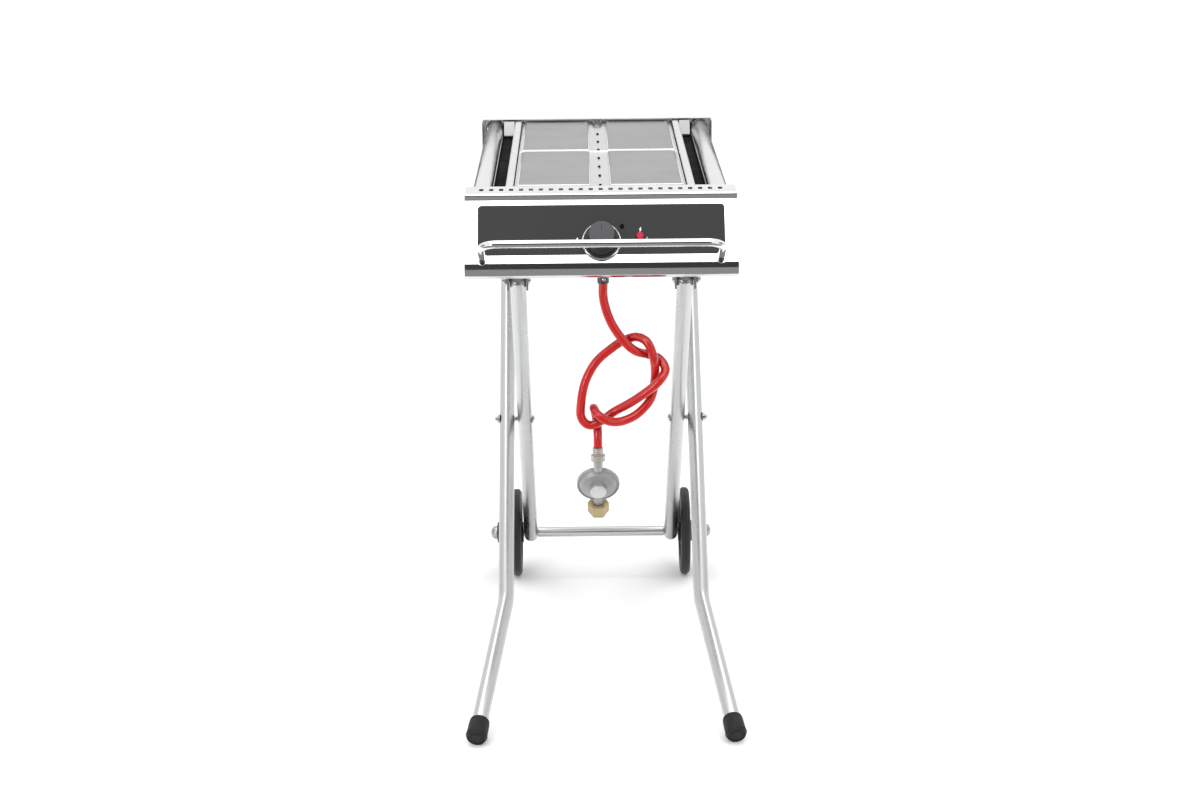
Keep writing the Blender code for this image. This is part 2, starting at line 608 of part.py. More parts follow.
def gas_supply():
    elbow = rod("inlet_elbow", (*ELBOW_AT, HOSE_ROUTE[0][2] + GAP), (*ELBOW_AT, BOTTOM_Z + 0.016), 0.009, 20)
    hose = tube("gas_hose", smooth_route(HOSE_ROUTE, HOSE_STEP), HOSE_RADIUS, 0.0, 3)
    end = Vector(HOSE_ROUTE[-1])
    top = end.z - 2 * GAP
    union = turned("hose_union", [(0, 0), (0.0082, 0), (0.0082, -0.008), (0.0066, -0.0085), (0.0066, -0.011),
                                  (0.0115, -0.012), (0.0115, -0.021), (0.0075, -0.022), (0.0075, -UNION_LENGTH),
                                  (0, -UNION_LENGTH)], (end.x, end.y, top), (0, 0, 1), 24)
    facing_out = Vector((0, -math.cos(REGULATOR_TILT), -math.sin(REGULATOR_TILT)))
    down = Vector((0, math.sin(REGULATOR_TILT), -math.cos(REGULATOR_TILT)))
    neck = Vector((end.x, end.y, top - UNION_LENGTH - GAP))
    centre = neck + down * (REGULATOR_RADIUS + 0.004)
    disc = turned("regulator", [(0, 0.019), (0.0115, 0.019), (0.013, 0.0175), (0.013, 0.011), (0.025, 0.0085),
                                (0.030, 0.0030), (REGULATOR_RADIUS, 0.0022), (REGULATOR_RADIUS, -0.0022),
                                (0.030, -0.0030), (0.025, -0.0100), (0.010, -0.0140), (0, -0.0140)],
                  centre, facing_out, 40)
    inlet_end = centre + down * (REGULATOR_RADIUS + 0.006)
    inlet = rod("regulator_inlet", centre + down * 0.010, inlet_end, 0.008, 20)
    outlet = rod("regulator_outlet", neck, neck - Vector((0, 0, 0.007)), 0.007, 20)
    shoulder = rod("regulator_shoulder", neck + down * 0.0038, neck + down * 0.010, 0.0068, 20)
    joined(disc, inlet, outlet, shoulder)
    nut = turned("cylinder_nut", [(0, -0.002), (0.012, -0.002), (0.0168, -0.004), (0.0168, -0.022),
                                  (0.0145, -0.0255), (0.0105, -0.0255), (0.0105, -0.016), (0, -0.016)],
                 inlet_end + down * (-0.002 + GAP), -down, 6)
    return [elbow, hose, union, disc, nut]


def gather(name, at, pieces):
    """An empty on a joint's axis, which its moving pieces hang from."""
    empty = bpy.data.objects.new(name, None)
    empty.location = at
    empty.empty_display_size = 0.02
    PARTS.objects.link(empty)
    bpy.context.view_layer.update()
    for piece in pieces:
        piece.parent = empty
        piece.matrix_parent_inverse = empty.matrix_world.inverted()
    return empty


def build():
    shells = console()
    panel = fascia()
    control = controls()
    bar, handle_nuts = handle()
    rear = rear_plate()
    frame, pan = head_frame()
    sheet, plates, clip = deck()
    burner, manifold, electrode = burners()
    legs, axle_tube, axle_rod, axle = wheel_legs()
    wheel, hub_caps = wheels(axle)
    foot_leg, foot_cap, top_cross = foot_legs()
    fittings = stand_fittings()
    supply = gas_supply()

    paint(shells + [rear] + frame + [sheet, bar], (0.72, 0.73, 0.74), 0.12, 1.0)
    paint([control["bezel"], clip] + fittings + handle_nuts + hub_caps, (0.70, 0.71, 0.72), 0.2, 1.0)
    paint(legs + foot_leg + [top_cross, axle_tube, axle_rod], (0.70, 0.71, 0.72), 0.15, 1.0)
    paint(plates, (0.45, 0.45, 0.45), 0.5, 0.6)
    paint([pan], (0.03, 0.03, 0.03), 0.5, 0.4)
    paint([panel], (0.07, 0.07, 0.07), 0.35)
    paint([control["knob"]], (0.10, 0.10, 0.11), 0.4)
    paint([control["button"]], (0.55, 0.01, 0.04), 0.3)
    paint([control["igniter"], electrode], (0.6, 0.58, 0.55), 0.5)
    paint([control["stem"], control["valve"], manifold, supply[4]], (0.55, 0.40, 0.17), 0.3, 1.0)
    paint(burner, (0.5, 0.5, 0.5), 0.4, 1.0)
    paint(wheel + foot_cap, (0.02, 0.02, 0.02), 0.6)
    paint([supply[0], supply[2], supply[3]], (0.6, 0.6, 0.6), 0.35, 1.0)
    paint([supply[1]], (0.60, 0.02, 0.01), 0.3)

    middle = (0, *PIVOT)
    fold = gather("fold_axis", (0, *FRONT_HINGE), legs + [axle_tube, axle_rod] + hub_caps)
    feet = gather("scissor_axis", middle, foot_leg + foot_cap + [top_cross]
                  + [piece for piece in fittings if piece.name.startswith("pivot_bolt")])
    feet.parent = fold
    feet.matrix_parent_inverse = fold.matrix_world.inverted()
    for piece, (name, side) in zip(wheel, SIDES):
        spin = gather("wheel_axis_" + name, axle, [piece])
        spin.parent = fold
        spin.matrix_parent_inverse = fold.matrix_world.inverted()


remove_everything()
PARTS = bpy.data.collections.new("gas_grill_on_folding_stand")
CUTTERS = bpy.data.collections.new("cutters")
bpy.context.scene.collection.children.link(PARTS)
bpy.context.scene.collection.children.link(CUTTERS)
build()
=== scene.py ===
"""The looks of the portable gas grill: polished steel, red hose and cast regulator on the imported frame."""
import json
import math

import bmesh
import bpy
from mathutils import Matrix, Vector


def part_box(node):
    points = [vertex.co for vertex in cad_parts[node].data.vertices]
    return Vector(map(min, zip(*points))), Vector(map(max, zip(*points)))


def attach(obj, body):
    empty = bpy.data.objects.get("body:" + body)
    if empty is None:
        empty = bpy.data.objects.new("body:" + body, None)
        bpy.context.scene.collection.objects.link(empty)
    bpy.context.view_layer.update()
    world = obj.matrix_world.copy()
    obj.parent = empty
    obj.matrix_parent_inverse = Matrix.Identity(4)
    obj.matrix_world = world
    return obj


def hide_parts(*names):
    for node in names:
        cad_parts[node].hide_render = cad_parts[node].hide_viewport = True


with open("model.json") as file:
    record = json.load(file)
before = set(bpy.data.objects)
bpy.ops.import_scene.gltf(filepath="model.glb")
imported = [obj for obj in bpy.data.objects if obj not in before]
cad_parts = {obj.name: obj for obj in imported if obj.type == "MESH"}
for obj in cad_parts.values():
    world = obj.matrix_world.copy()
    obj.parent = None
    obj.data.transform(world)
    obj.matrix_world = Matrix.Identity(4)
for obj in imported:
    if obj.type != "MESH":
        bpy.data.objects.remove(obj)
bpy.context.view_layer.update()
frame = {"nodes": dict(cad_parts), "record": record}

# ---------------------------------------------------------------- measures read from the frame

def middle(node):
    low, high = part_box(node)
    return (low + high) / 2


def joint(name):
    return next(entry for entry in frame["record"]["behaviour"]["joints"] if entry["name"] == name)


CONSOLE_LOW, CONSOLE_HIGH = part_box("console_shell")
HALF_WIDTH = CONSOLE_HIGH.x
TOP_Z = CONSOLE_HIGH.z
BOTTOM_Z = CONSOLE_LOW.z
REAR_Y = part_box("rear_plate")[1].y
FRONT_HINGE = Vector(joint("stand_fold")["pos_m"])
PIVOT = Vector(joint("scissor")["pos_m"])
AXLE = Vector(joint("left_wheel")["pos_m"])
REAR_SADDLE = middle("top_cross_tube")
LEG_DOWN = (PIVOT - FRONT_HINGE).normalized()
FOOT_DOWN = Vector((0, -LEG_DOWN.y, LEG_DOWN.z))
PANEL_OUT = -Vector(joint("knob_push")["axis"]).normalized()
PANEL_DOWN = Vector((0, -PANEL_OUT.z, PANEL_OUT.y))

# ---------------------------------------------------------------- measures that the frame doesn't name

SIDES = (("left", -1), ("right", 1))
GAP = 0.0003                            # clearance between fitted pieces
SHEET = 0.0012
LIP_DEPTH = 0.057
LIP_BACK_Y = -0.216
LIP_FRONT_Y = LIP_BACK_Y - LIP_DEPTH
LIP_DROP_DOWN = 0.0115
PANEL_LENGTH = 0.1122
BEND_RADII = (0.0034, 0.0012, 0.0030, 0.0200, 0.0060, 0.0040)   # of the console, from lip to underside
SLOT_COUNT = 25
SLOT_PITCH = 0.0151
KNOB_AT = (0.0, 0.0785)                 # across and down the panel
PIEZO_AT = (0.0578, 0.0732)
HANDLE_AT = (0.179, 0.1052)
FASCIA_TOP = GAP + 0.001 + 0.00002      # just over the fascia's face
GUTTER_Z = 0.793
GUTTER_X = (0.1464, 0.1668)             # its inner and outer side
DECK_Z = 0.816
LEG_RADIUS = 0.0125
CROSS_RADIUS = 0.009
AXLE_RADIUS = 0.006
WHEEL_LEG_X = 0.128
WHEEL_X = 0.153
FOOT_LEG_X = 0.158
DISC_WEB = 0.0028                       # half the thickness of a wheel's web
RIB_COUNT = 8
FOOT_TIP = (0.198, -0.4436, 0.0162)
KNEE_DOWN = 0.334                       # from the pivot down to the knee of a foot leg
HOSE_DIAMETER = 0.014
HOSE_ROUTE = (
    (0.002, -0.300, 0.6895), (0.002, -0.300, 0.668), (0.007, -0.301, 0.645), (0.017, -0.304, 0.622),
    (0.034, -0.309, 0.599), (0.051, -0.306, 0.584), (0.070, -0.292, 0.575), (0.087, -0.292, 0.568),
    (0.096, -0.300, 0.553), (0.086, -0.309, 0.537), (0.066, -0.306, 0.519), (0.042, -0.300, 0.501),
    (0.017, -0.293, 0.485), (-0.003, -0.298, 0.472), (-0.020, -0.300, 0.466), (-0.032, -0.301, 0.476),
    (-0.034, -0.300, 0.495), (-0.027, -0.298, 0.533), (-0.010, -0.294, 0.564), (0.014, -0.291, 0.585),
    (0.033, -0.291, 0.597), (0.052, -0.297, 0.604), (0.068, -0.306, 0.598), (0.077, -0.309, 0.577),
    (0.080, -0.299, 0.556), (0.080, -0.291, 0.535), (0.077, -0.292, 0.515), (0.069, -0.297, 0.499),
    (0.050, -0.303, 0.482), (0.027, -0.309, 0.474), (0.008, -0.316, 0.477), (-0.008, -0.314, 0.487),
    (-0.014, -0.299, 0.493), (-0.012, -0.284, 0.483), (-0.009, -0.282, 0.465), (-0.008, -0.289, 0.447),
    (-0.008, -0.290, 0.428))

# ---------------------------------------------------------------- choices of this script

STEPS = 64                              # segments round a turned piece
MARK_THICKNESS = 0.00012
CAMERA_PLACE = (-0.0308, -3.8398, 1.4854)
CAMERA_DOWN, CAMERA_RIGHT, CAMERA_ROLL = 15.465, 0.43, -0.5     # degrees
CARD_Y = -5.0                           # where the cards behind the camera stand
CARD_HALF = 2.2
LOW_CARD_EDGE_Y = -0.47                 # the low card lies from CARD_Y to here
SIDE_CARD_X = 3.4


def on_panel(across, down, out=0.0):
    return Vector((across, LIP_FRONT_Y, TOP_Z)) + PANEL_DOWN * down + PANEL_OUT * out


# ---------------------------------------------------------------- camera, light and floor

def add_camera():
    """Stands 3.8 m in front and looks down at the grill through a 72 mm lens."""
    lens = bpy.data.cameras.new("camera")
    lens.lens = 72
    lens.sensor_width = 36
    camera = bpy.data.objects.new("camera", lens)
    bpy.context.scene.collection.objects.link(camera)
    pitch, yaw, roll = (math.radians(angle) for angle in (CAMERA_DOWN, CAMERA_RIGHT, CAMERA_ROLL))
    forward = Vector((math.sin(yaw) * math.cos(pitch), math.cos(yaw) * math.cos(pitch), -math.sin(pitch)))
    level = Vector((math.cos(yaw), -math.sin(yaw), 0))
    upward = level.cross(forward)
    across = level * math.cos(roll) + upward * math.sin(roll)
    above = upward * math.cos(roll) - level * math.sin(roll)
    turn = Matrix((across, above, -forward)).transposed().to_4x4()
    camera.matrix_world = Matrix.Translation(CAMERA_PLACE) @ turn
    bpy.context.scene.camera = camera


def add_light(name, place, target, size, power):
    data = bpy.data.lights.new(name, "AREA")
    data.shape = "RECTANGLE"
    data.size, data.size_y = size
    data.energy = power
    light = bpy.data.objects.new(name, data)
    bpy.context.scene.collection.objects.link(light)
    light.location = place
    light.rotation_euler = (Vector(target) - Vector(place)).to_track_quat("-Z", "Y").to_euler()


def flag(name, corners, grey):
    """A studio card that only reflections see: it puts the darker bands into polished steel."""
    mesh = bmesh.new()
    mesh.faces.new([mesh.verts.new(corner) for corner in corners])
    data = bpy.data.meshes.new(name)
    mesh.to_mesh(data)
    mesh.free()
    card = bpy.data.objects.new(name, data)
    bpy.context.scene.collection.objects.link(card)
    paper = bpy.data.materials.new(name)
    paper.use_nodes = True
    nodes = paper.node_tree.nodes
    nodes.remove(nodes["Principled BSDF"])
    glow = nodes.new("ShaderNodeEmission")
    glow.inputs["Color"].default_value = (grey, grey, grey, 1)
    paper.node_tree.links.new(glow.outputs[0], nodes["Material Output"].inputs["Surface"])
    data.materials.append(paper)
    card.visible_camera = False
    card.visible_diffuse = False
    card.visible_shadow = False


def upright_flag(name, y, half_width, low, high, grey):
    """A card that stands square to the view."""
    corners = ((-half_width, y, low), (half_width, y, low), (half_width, y, high), (-half_width, y, high))
    flag(name, corners, grey)


def studio():
    scene = bpy.context.scene
    scene.view_settings.view_transform = "Standard"
    world = bpy.data.worlds.new("white_studio")
    scene.world = world
    world.use_nodes = True
    background = world.node_tree.nodes["Background"]
    background.inputs["Color"].default_value = (1.0, 1.0, 1.0, 1)
    background.inputs["Strength"].default_value = 1.05
    add_light("top_softbox", (0, 0.2, 3.4), (0, 0, 0.4), (3.2, 2.6), 45)
    add_light("front_softbox", (0, -3.2, 3.6), (0, 0, 0.5), (3.0, 1.6), 40)
    add_light("strip_light", (-1.9, -3.0, 1.3), (0, -0.3, 0.5), (0.20, 1.8), 18)
    upright_flag("low_back_flag", CARD_Y, CARD_HALF, 0.01, 0.35, 0.34)
    upright_flag("camera_side_flag", CARD_Y, CARD_HALF, 0.35, 2.6, 0.05)
    upright_flag("high_back_flag", CARD_Y, CARD_HALF, 2.6, 5.6, 0.20)
    flag("low_front_flag", ((-CARD_HALF, CARD_Y, 0.01), (CARD_HALF, CARD_Y, 0.01),
                            (CARD_HALF, LOW_CARD_EDGE_Y, 0.01), (-CARD_HALF, LOW_CARD_EDGE_Y, 0.01)), 0.32)
    upright_flag("rear_flag", 6.0, 3.0, 0.05, 1.3, 0.12)
    for side in (-1, 1):
        x = side * SIDE_CARD_X
        flag("side_flag_%d" % side, ((x, -1.6, 0.2), (x, 0.4, 0.2), (x, 0.4, 1.9), (x, -1.6, 1.9)), 0.22)

    mesh = bmesh.new()
    bmesh.ops.create_grid(mesh, x_segments=1, y_segments=1, size=40)
    data = bpy.data.meshes.new("floor")
    mesh.to_mesh(data)
    mesh.free()
    floor = bpy.data.objects.new("floor", data)
    scene.collection.objects.link(floor)
    data.materials.append(grain(material("floor_paper", (0.97, 0.97, 0.97), 0.9), 3, tint=0.01))


# ---------------------------------------------------------------- materials

def material(name, colour, roughness, metallic=0.0, coat=0.0, shine=0.5):
    made = bpy.data.materials.new(name)
    made.use_nodes = True
    shader = made.node_tree.nodes["Principled BSDF"]
    shader.inputs["Base Color"].default_value = (*colour, 1)
    shader.inputs["Roughness"].default_value = roughness
    shader.inputs["Metallic"].default_value = metallic
    shader.inputs["Coat Weight"].default_value = coat
    shader.inputs["Specular IOR Level"].default_value = shine
    return made


def colour_mix(nodes):
    """A colour Mix node and its factor, first colour, second colour and result."""
    mix = nodes.new("ShaderNodeMix")
    mix.data_type = "RGBA"
    first, second = [socket for socket in mix.inputs if socket.type == "RGBA"]
    result = next(socket for socket in mix.outputs if socket.type == "RGBA")
    return mix.inputs[0], first, second, result


def grain(made, scale, stretch=(1, 1, 1), tint=0.0, rough=0.0, bump=0.0, detail=4.0, depth=0.0004):
    """Noise on a material: `tint` varies its colour, `rough` its roughness and `bump` its surface."""
    nodes, links = made.node_tree.nodes, made.node_tree.links
    shader = nodes["Principled BSDF"]
    place = nodes.new("ShaderNodeTexCoord")
    mapping = nodes.new("ShaderNodeMapping")
    mapping.inputs["Scale"].default_value = stretch
    noise = nodes.new("ShaderNodeTexNoise")
    noise.inputs["Scale"].default_value = scale
    noise.inputs["Detail"].default_value = detail
    links.new(place.outputs["Object"], mapping.inputs["Vector"])
    links.new(mapping.outputs["Vector"], noise.inputs["Vector"])
    if tint:
        colour = shader.inputs["Base Color"]
        factor, first, second, result = colour_mix(nodes)
        base = tuple(colour.default_value)
        second.default_value = (*(channel * 0.45 for channel in base[:3]), 1)
        if colour.is_linked:
            links.new(colour.links[0].from_socket, first)
        else:
            first.default_value = base
        amount = nodes.new("ShaderNodeMapRange")
        amount.inputs["From Min"].default_value = 0.35
        amount.inputs["From Max"].default_value = 0.75
        amount.inputs["To Max"].default_value = tint
        links.new(noise.outputs["Fac"], amount.inputs["Value"])
        links.new(amount.outputs["Result"], factor)
        links.new(result, colour)
    if rough:
        base = shader.inputs["Roughness"].default_value
        spread = nodes.new("ShaderNodeMapRange")
        spread.inputs["From Min"].default_value = 0.3
        spread.inputs["From Max"].default_value = 0.7
        spread.inputs["To Min"].default_value = max(base - rough, 0.02)
        spread.inputs["To Max"].default_value = base + rough
        links.new(noise.outputs["Fac"], spread.inputs["Value"])
        links.new(spread.outputs["Result"], shader.inputs["Roughness"])
    if bump:
        relief = nodes.new("ShaderNodeBump")
        relief.inputs["Strength"].default_value = bump
        relief.inputs["Distance"].default_value = depth
        if shader.inputs["Normal"].is_linked:
            links.new(shader.inputs["Normal"].links[0].from_socket, relief.inputs["Normal"])
        links.new(noise.outputs["Fac"], relief.inputs["Height"])
        links.new(relief.outputs["Normal"], shader.inputs["Normal"])
    return made


def rubbed_and_highlit_edges(made, colour, amount=0.35):
    """Paler edges, from the mesh's own curvature: rubbed wear on the brass and the rubber, and a painted
    highlight on the cast zinc's rims.
    """
    nodes, links = made.node_tree.nodes, made.node_tree.links
    shader = nodes["Principled BSDF"]
    geometry = nodes.new("ShaderNodeNewGeometry")
    edge = nodes.new("ShaderNodeMapRange")
    edge.inputs["From Min"].default_value = 0.52
    edge.inputs["From Max"].default_value = 0.62
    edge.inputs["To Max"].default_value = amount
    factor, first, second, result = colour_mix(nodes)
    second.default_value = (*colour, 1)
    source = shader.inputs["Base Color"]
    if source.is_linked:
        links.new(source.links[0].from_socket, first)
    else:
        first.default_value = tuple(source.default_value)
    links.new(geometry.outputs["Pointiness"], edge.inputs["Value"])
    links.new(edge.outputs["Result"], factor)
    links.new(result, source)
    return made


def make_materials():
    """Every look, by the short name that the pieces ask for."""
    steel = (0.765, 0.77, 0.775)
    return {
        "sheet": grain(grain(material("polished_sheet", steel, 0.13, 1.0), 7, tint=0.10, rough=0.03),
                       900, (0.02, 1, 1), bump=0.04, depth=0.0001),
        "deck": grain(grain(material("deck_sheet", (0.65, 0.65, 0.65), 0.28, 1.0), 9, tint=0.10, rough=0.05),
                      700, (1, 0.02, 1), bump=0.06, depth=0.0001),
        "tube": grain(material("polished_tube", (0.56, 0.565, 0.57), 0.28, 1.0), 11, tint=0.03, rough=0.015),
        "rail": grain(material("rail_steel", (0.75, 0.75, 0.76), 0.22, 1.0), 14, tint=0.06, rough=0.05),
        "fitting": grain(material("plain_steel", (0.58, 0.58, 0.59), 0.26, 1.0), 60,
                         tint=0.25, rough=0.08, bump=0.05),
        "plate": grain(grain(material("radiant_plate", (0.315, 0.315, 0.315), 0.42, 0.85), 12,
                             tint=0.10, rough=0.05), 1400, bump=0.10, depth=0.0002),
        # Near-black and dull: the gutter liners and the strip screws, and also painted shade under the
        # console's slots.
        "pan_and_shade": grain(material("dark_pan", (0.012, 0.012, 0.012), 0.8, shine=0.05), 40,
                     tint=0.4, rough=0.1, bump=0.1),
        "fascia": grain(grain(material("fascia_enamel", (0.020, 0.020, 0.021), 0.45, shine=0.25), 5,
                              tint=0.08, rough=0.04), 1800, bump=0.05, depth=0.0001),
        "knob": grain(material("knob_plastic", (0.026, 0.026, 0.028), 0.42, shine=0.3), 1500,
                      tint=0.12, bump=0.08, depth=0.0002),
        "knob_face": grain(material("knob_face", (0.066, 0.066, 0.073), 0.50, shine=0.3), 1200,
                           tint=0.10, bump=0.06, depth=0.0002),
        "chrome": grain(material("chrome_ring", (0.76, 0.76, 0.77), 0.06, 1.0), 30, rough=0.02, tint=0.05),
        "red": grain(material("button_red", (0.46, 0.002, 0.040), 0.35, shine=0.25), 400,
                     tint=0.08, bump=0.02),
        "ink": grain(material("white_print", (0.82, 0.82, 0.82), 0.5), 800, tint=0.08),
        "dark_ink": grain(material("dark_print", (0.006, 0.003, 0.003), 0.6, shine=0.05), 800, tint=0.2),
        "brass": rubbed_and_highlit_edges(grain(grain(material("brass", (0.39, 0.30, 0.16), 0.34, 1.0), 45,
                                        tint=0.35, rough=0.08), 600, bump=0.06, depth=0.0002),
                            (0.60, 0.50, 0.29)),
        "tyre": grain(grain(material("tyre_rubber", (0.016, 0.016, 0.017), 0.45, shine=0.3), 25,
                            tint=0.25, rough=0.08), 900, bump=0.12, depth=0.0003),
        "hub": grain(material("hub_plastic", (0.014, 0.014, 0.015), 0.40, shine=0.3), 300,
                     tint=0.2, bump=0.05, depth=0.0002),
        "rubber": rubbed_and_highlit_edges(grain(material("foot_rubber", (0.010, 0.010, 0.011), 0.60, shine=0.3), 500,
                                   tint=0.3, rough=0.08, bump=0.15, depth=0.0003), (0.06, 0.06, 0.06)),
        # The pale edge colour on the cast zinc is a painted highlight on its rims and rim bead.
        "zinc": rubbed_and_highlit_edges(grain(grain(material("cast_zinc", (0.35, 0.35, 0.355), 0.42, 0.5), 35,
                                       tint=0.30, rough=0.1), 700, bump=0.22, depth=0.0003),
                           (0.74, 0.74, 0.74)),
        "nickel": grain(material("union_nickel", (0.52, 0.485, 0.455), 0.34, 0.6), 80,
                        tint=0.25, rough=0.08, bump=0.04),
        "cap_metal": grain(material("cap_metal", (0.60, 0.60, 0.605), 0.45, 0.5), 500, tint=0.06, bump=0.04),
        "hose": grain(grain(material("hose_rubber", (0.44, 0.004, 0.003), 0.30, coat=1.0, shine=0.2), 40,
                            tint=0.20, rough=0.05), 900, bump=0.05, depth=0.0002),
        "ceramic": grain(material("igniter_ceramic", (0.62, 0.60, 0.57), 0.5), 200, tint=0.15, bump=0.05),
        "bright": grain(material("chromed_rod", (0.84, 0.84, 0.85), 0.07, 1.0), 40, tint=0.06, rough=0.02),
        "gunmetal": grain(material("dark_steel", (0.13, 0.13, 0.135), 0.3, 1.0), 60,
                          tint=0.3, rough=0.08, bump=0.05),
        "grey_ink": grain(material("grey_print", (0.30, 0.30, 0.29), 0.5), 800, tint=0.08),
        "cap": grain(material("push_cap", (0.42, 0.42, 0.43), 0.30, 1.0), 90, tint=0.2, rough=0.06),
        "inside": grain(material("tube_inside", (0.10, 0.10, 0.10), 0.6, 0.6), 90, tint=0.4, rough=0.1),
    }


# ---------------------------------------------------------------- shaping tools

def to_mesh(name, mesh):
    data = bpy.data.meshes.new(name)
    bmesh.ops.recalc_face_normals(mesh, faces=mesh.faces)
    mesh.to_mesh(data)
    mesh.free()
    return data


def new_piece(name, shape, look, body="head", replaces=(), sharp=35):
    """Makes a piece that rides on `body` from a bmesh, a mesh or a curve."""
    data = to_mesh(name, shape) if isinstance(shape, bmesh.types.BMesh) else shape
    made = bpy.data.objects.new(name, data)
    bpy.context.scene.collection.objects.link(made)
    if sharp and isinstance(data, bpy.types.Mesh):
        data.shade_smooth()
        data.set_sharp_from_angle(angle=math.radians(sharp))
    data.materials.clear()
    data.materials.append(LOOKS[look])
    if replaces:
        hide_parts(*replaces)
    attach(made, body)
    return made


def upright(direction):
    """The turn that takes +Z to `direction`."""
    return Vector((0, 0, 1)).rotation_difference(Vector(direction)).to_matrix().to_4x4()


def lathe(profile, base, axis, steps=STEPS, wobble=None):
    """A bmesh turned about `axis` from (radius, height) points.

    `wobble(angle, radius, height)` scales the radius.
    """
    mesh = bmesh.new()
    rings = []
    for radius, height in profile:
        if radius < 1e-6:
            rings.append([mesh.verts.new((0, 0, height))])
            continue
        ring = []
        for index in range(steps):
            angle = 2 * math.pi * index / steps
            reach = radius * (wobble(angle, radius, height) if wobble else 1.0)
            ring.append(mesh.verts.new((reach * math.cos(angle), reach * math.sin(angle), height)))
        rings.append(ring)
    for upper, lower in zip(rings, rings[1:]):
        for index in range(steps):
            after = (index + 1) % steps
            corners = [upper[index % len(upper)], upper[after % len(upper)],
                       lower[after % len(lower)], lower[index % len(lower)]]
            distinct = list(dict.fromkeys(corners))
            if len(distinct) > 2:
                mesh.faces.new(distinct)
    place = Matrix.Translation(Vector(base)) @ upright(axis)
    bmesh.ops.transform(mesh, matrix=place, verts=mesh.verts)
    return mesh


def drill(radius, base, axis, ends=(0.01, -0.01), steps=32):
    """A bmesh of a round cutter along `axis`."""
    return lathe([(0, ends[0]), (radius, ends[0]), (radius, ends[1]), (0, ends[1])], base, axis, steps)


def arc(centre, radius, start, end, steps=6):
    """(radius, height) points on an arc of a turned profile, with angles in degrees from outward."""
    points = []
    for index in range(steps + 1):
        angle = math.radians(start + (end - start) * index / steps)
        points.append((centre[0] + radius * math.cos(angle), centre[1] + radius * math.sin(angle)))
    return points


def rounded(points, radius, steps):
    """The points of a path with an arc of `radius` at each corner."""
    points = [Vector(point) for point in points]
    line = [points[0]]
    for before, corner, after in zip(points, points[1:], points[2:]):
        back, on = (before - corner).normalized(), (after - corner).normalized()
        half = back.angle(on) / 2
        reach = radius / math.tan(half)
        centre = corner + (back + on).normalized() * radius / math.sin(half)
        first = (corner + back * reach - centre).normalized()
        last = (corner + on * reach - centre).normalized()
        line += [centre + first.slerp(last, step / steps) * radius for step in range(steps + 1)]
    return line + [points[-1]]


def sweep(line, radii, sides):
    """A bmesh of a closed round bar along the points of `line`, with a radius for each point."""
    mesh = bmesh.new()
    heading = (line[1] - line[0]).normalized()
    across = heading.orthogonal().normalized()
    rings = []
    for index, (point, radius) in enumerate(zip(line, radii)):
        before, after = line[max(index - 1, 0)], line[min(index + 1, len(line) - 1)]
        now = (after - before).normalized()
        across = heading.rotation_difference(now) @ across
        across = (across - now * across.dot(now)).normalized()
        heading = now
        other = now.cross(across)
        rings.append([mesh.verts.new(point + (across * math.cos(a) + other * math.sin(a)) * radius)
                      for a in (2 * math.pi * k / sides for k in range(sides))])
    for one, two in zip(rings, rings[1:]):
        for index in range(sides):
            after = (index + 1) % sides
            mesh.faces.new((one[index], one[after], two[after], two[index]))
    mesh.faces.new(rings[0])
    mesh.faces.new(rings[-1])
    return mesh


def soft_edges(piece, width, segments, angle):
    bevel = piece.modifiers.new("soft_edges", "BEVEL")
    bevel.width = width
    bevel.segments = segments
    bevel.limit_method = "ANGLE"
    bevel.angle_limit = math.radians(angle)
    return bevel


def soften(made, width):
    """Rounds the edges of a new piece."""
    soft_edges(made, width, 3, 30).harden_normals = True
    made.data.shade_smooth()


def thicken(made, thickness, offset):
    """Gives a sheet its thickness; offset -1 is all on the inside and 0 is half on each side."""
    sheet = made.modifiers.new("sheet", "SOLIDIFY")
    sheet.thickness = thickness
    sheet.offset = offset
    return sheet


def add(target, other):
    """Puts a second bmesh into the first."""
    data = bpy.data.meshes.new("part")
    other.to_mesh(data)
    other.free()
    target.from_mesh(data)
    bpy.data.meshes.remove(data)


def blunt(line, radius, edge, steps=4):
    """The points of a bar and a radius for each, rounded over at both ends."""
    first, last = line[0], line[-1]
    lead, tail = (line[1] - first).normalized(), (last - line[-2]).normalized()
    head, foot = [], []
    for index in range(steps + 1):
        turn = math.pi / 2 * index / steps
        back, inset = edge * (1 - math.cos(turn)), edge * (1 - math.sin(turn))
        head.append((first + lead * back, radius - inset))
        foot.append((last - tail * back, radius - inset))
    run = head + [(point, radius) for point in line[1:-1]] + foot[::-1]
    return [point for point, _ in run], [reach for _, reach in run]


def bar(points, radius, bend=0.0, edge=0.0012, sides=40, bend_steps=16):
    """A bmesh of a round bar or tube along straight runs, with bends of `bend` and rounded ends."""
    line = [Vector(point) for point in points]
    if bend:
        line = rounded(line, bend, bend_steps)
    return sweep(*blunt(line, radius, edge), sides)


def dress(node, look, edge=0.0, sharp=35):
    """Gives a CAD node its finish, smooth rounds, and soft edges where it is a plain sheet or block."""
    piece = frame["nodes"][node]
    piece.data.materials.clear()
    piece.data.materials.append(LOOKS[look])
    piece.data.shade_smooth()
    piece.data.set_sharp_from_angle(angle=math.radians(sharp))
    if edge:
        soft_edges(piece, edge, 2, 40)


def punch(piece, cutters, look):
    """Cuts the bmesh `cutters` out of a piece and keeps the result as its mesh."""
    cutter = bpy.data.objects.new("cutter", to_mesh("cutter", cutters))
    bpy.context.scene.collection.objects.link(cutter)
    step = piece.modifiers.new("holes", "BOOLEAN")
    step.object = cutter
    step.solver = "EXACT"
    bpy.context.view_layer.update()
    shaped = bpy.data.meshes.new_from_object(piece.evaluated_get(bpy.context.evaluated_depsgraph_get()))
    piece.modifiers.clear()
    piece.data = shaped
    bpy.data.objects.remove(cutter)
    shaped.materials.clear()
    shaped.materials.append(LOOKS[look])


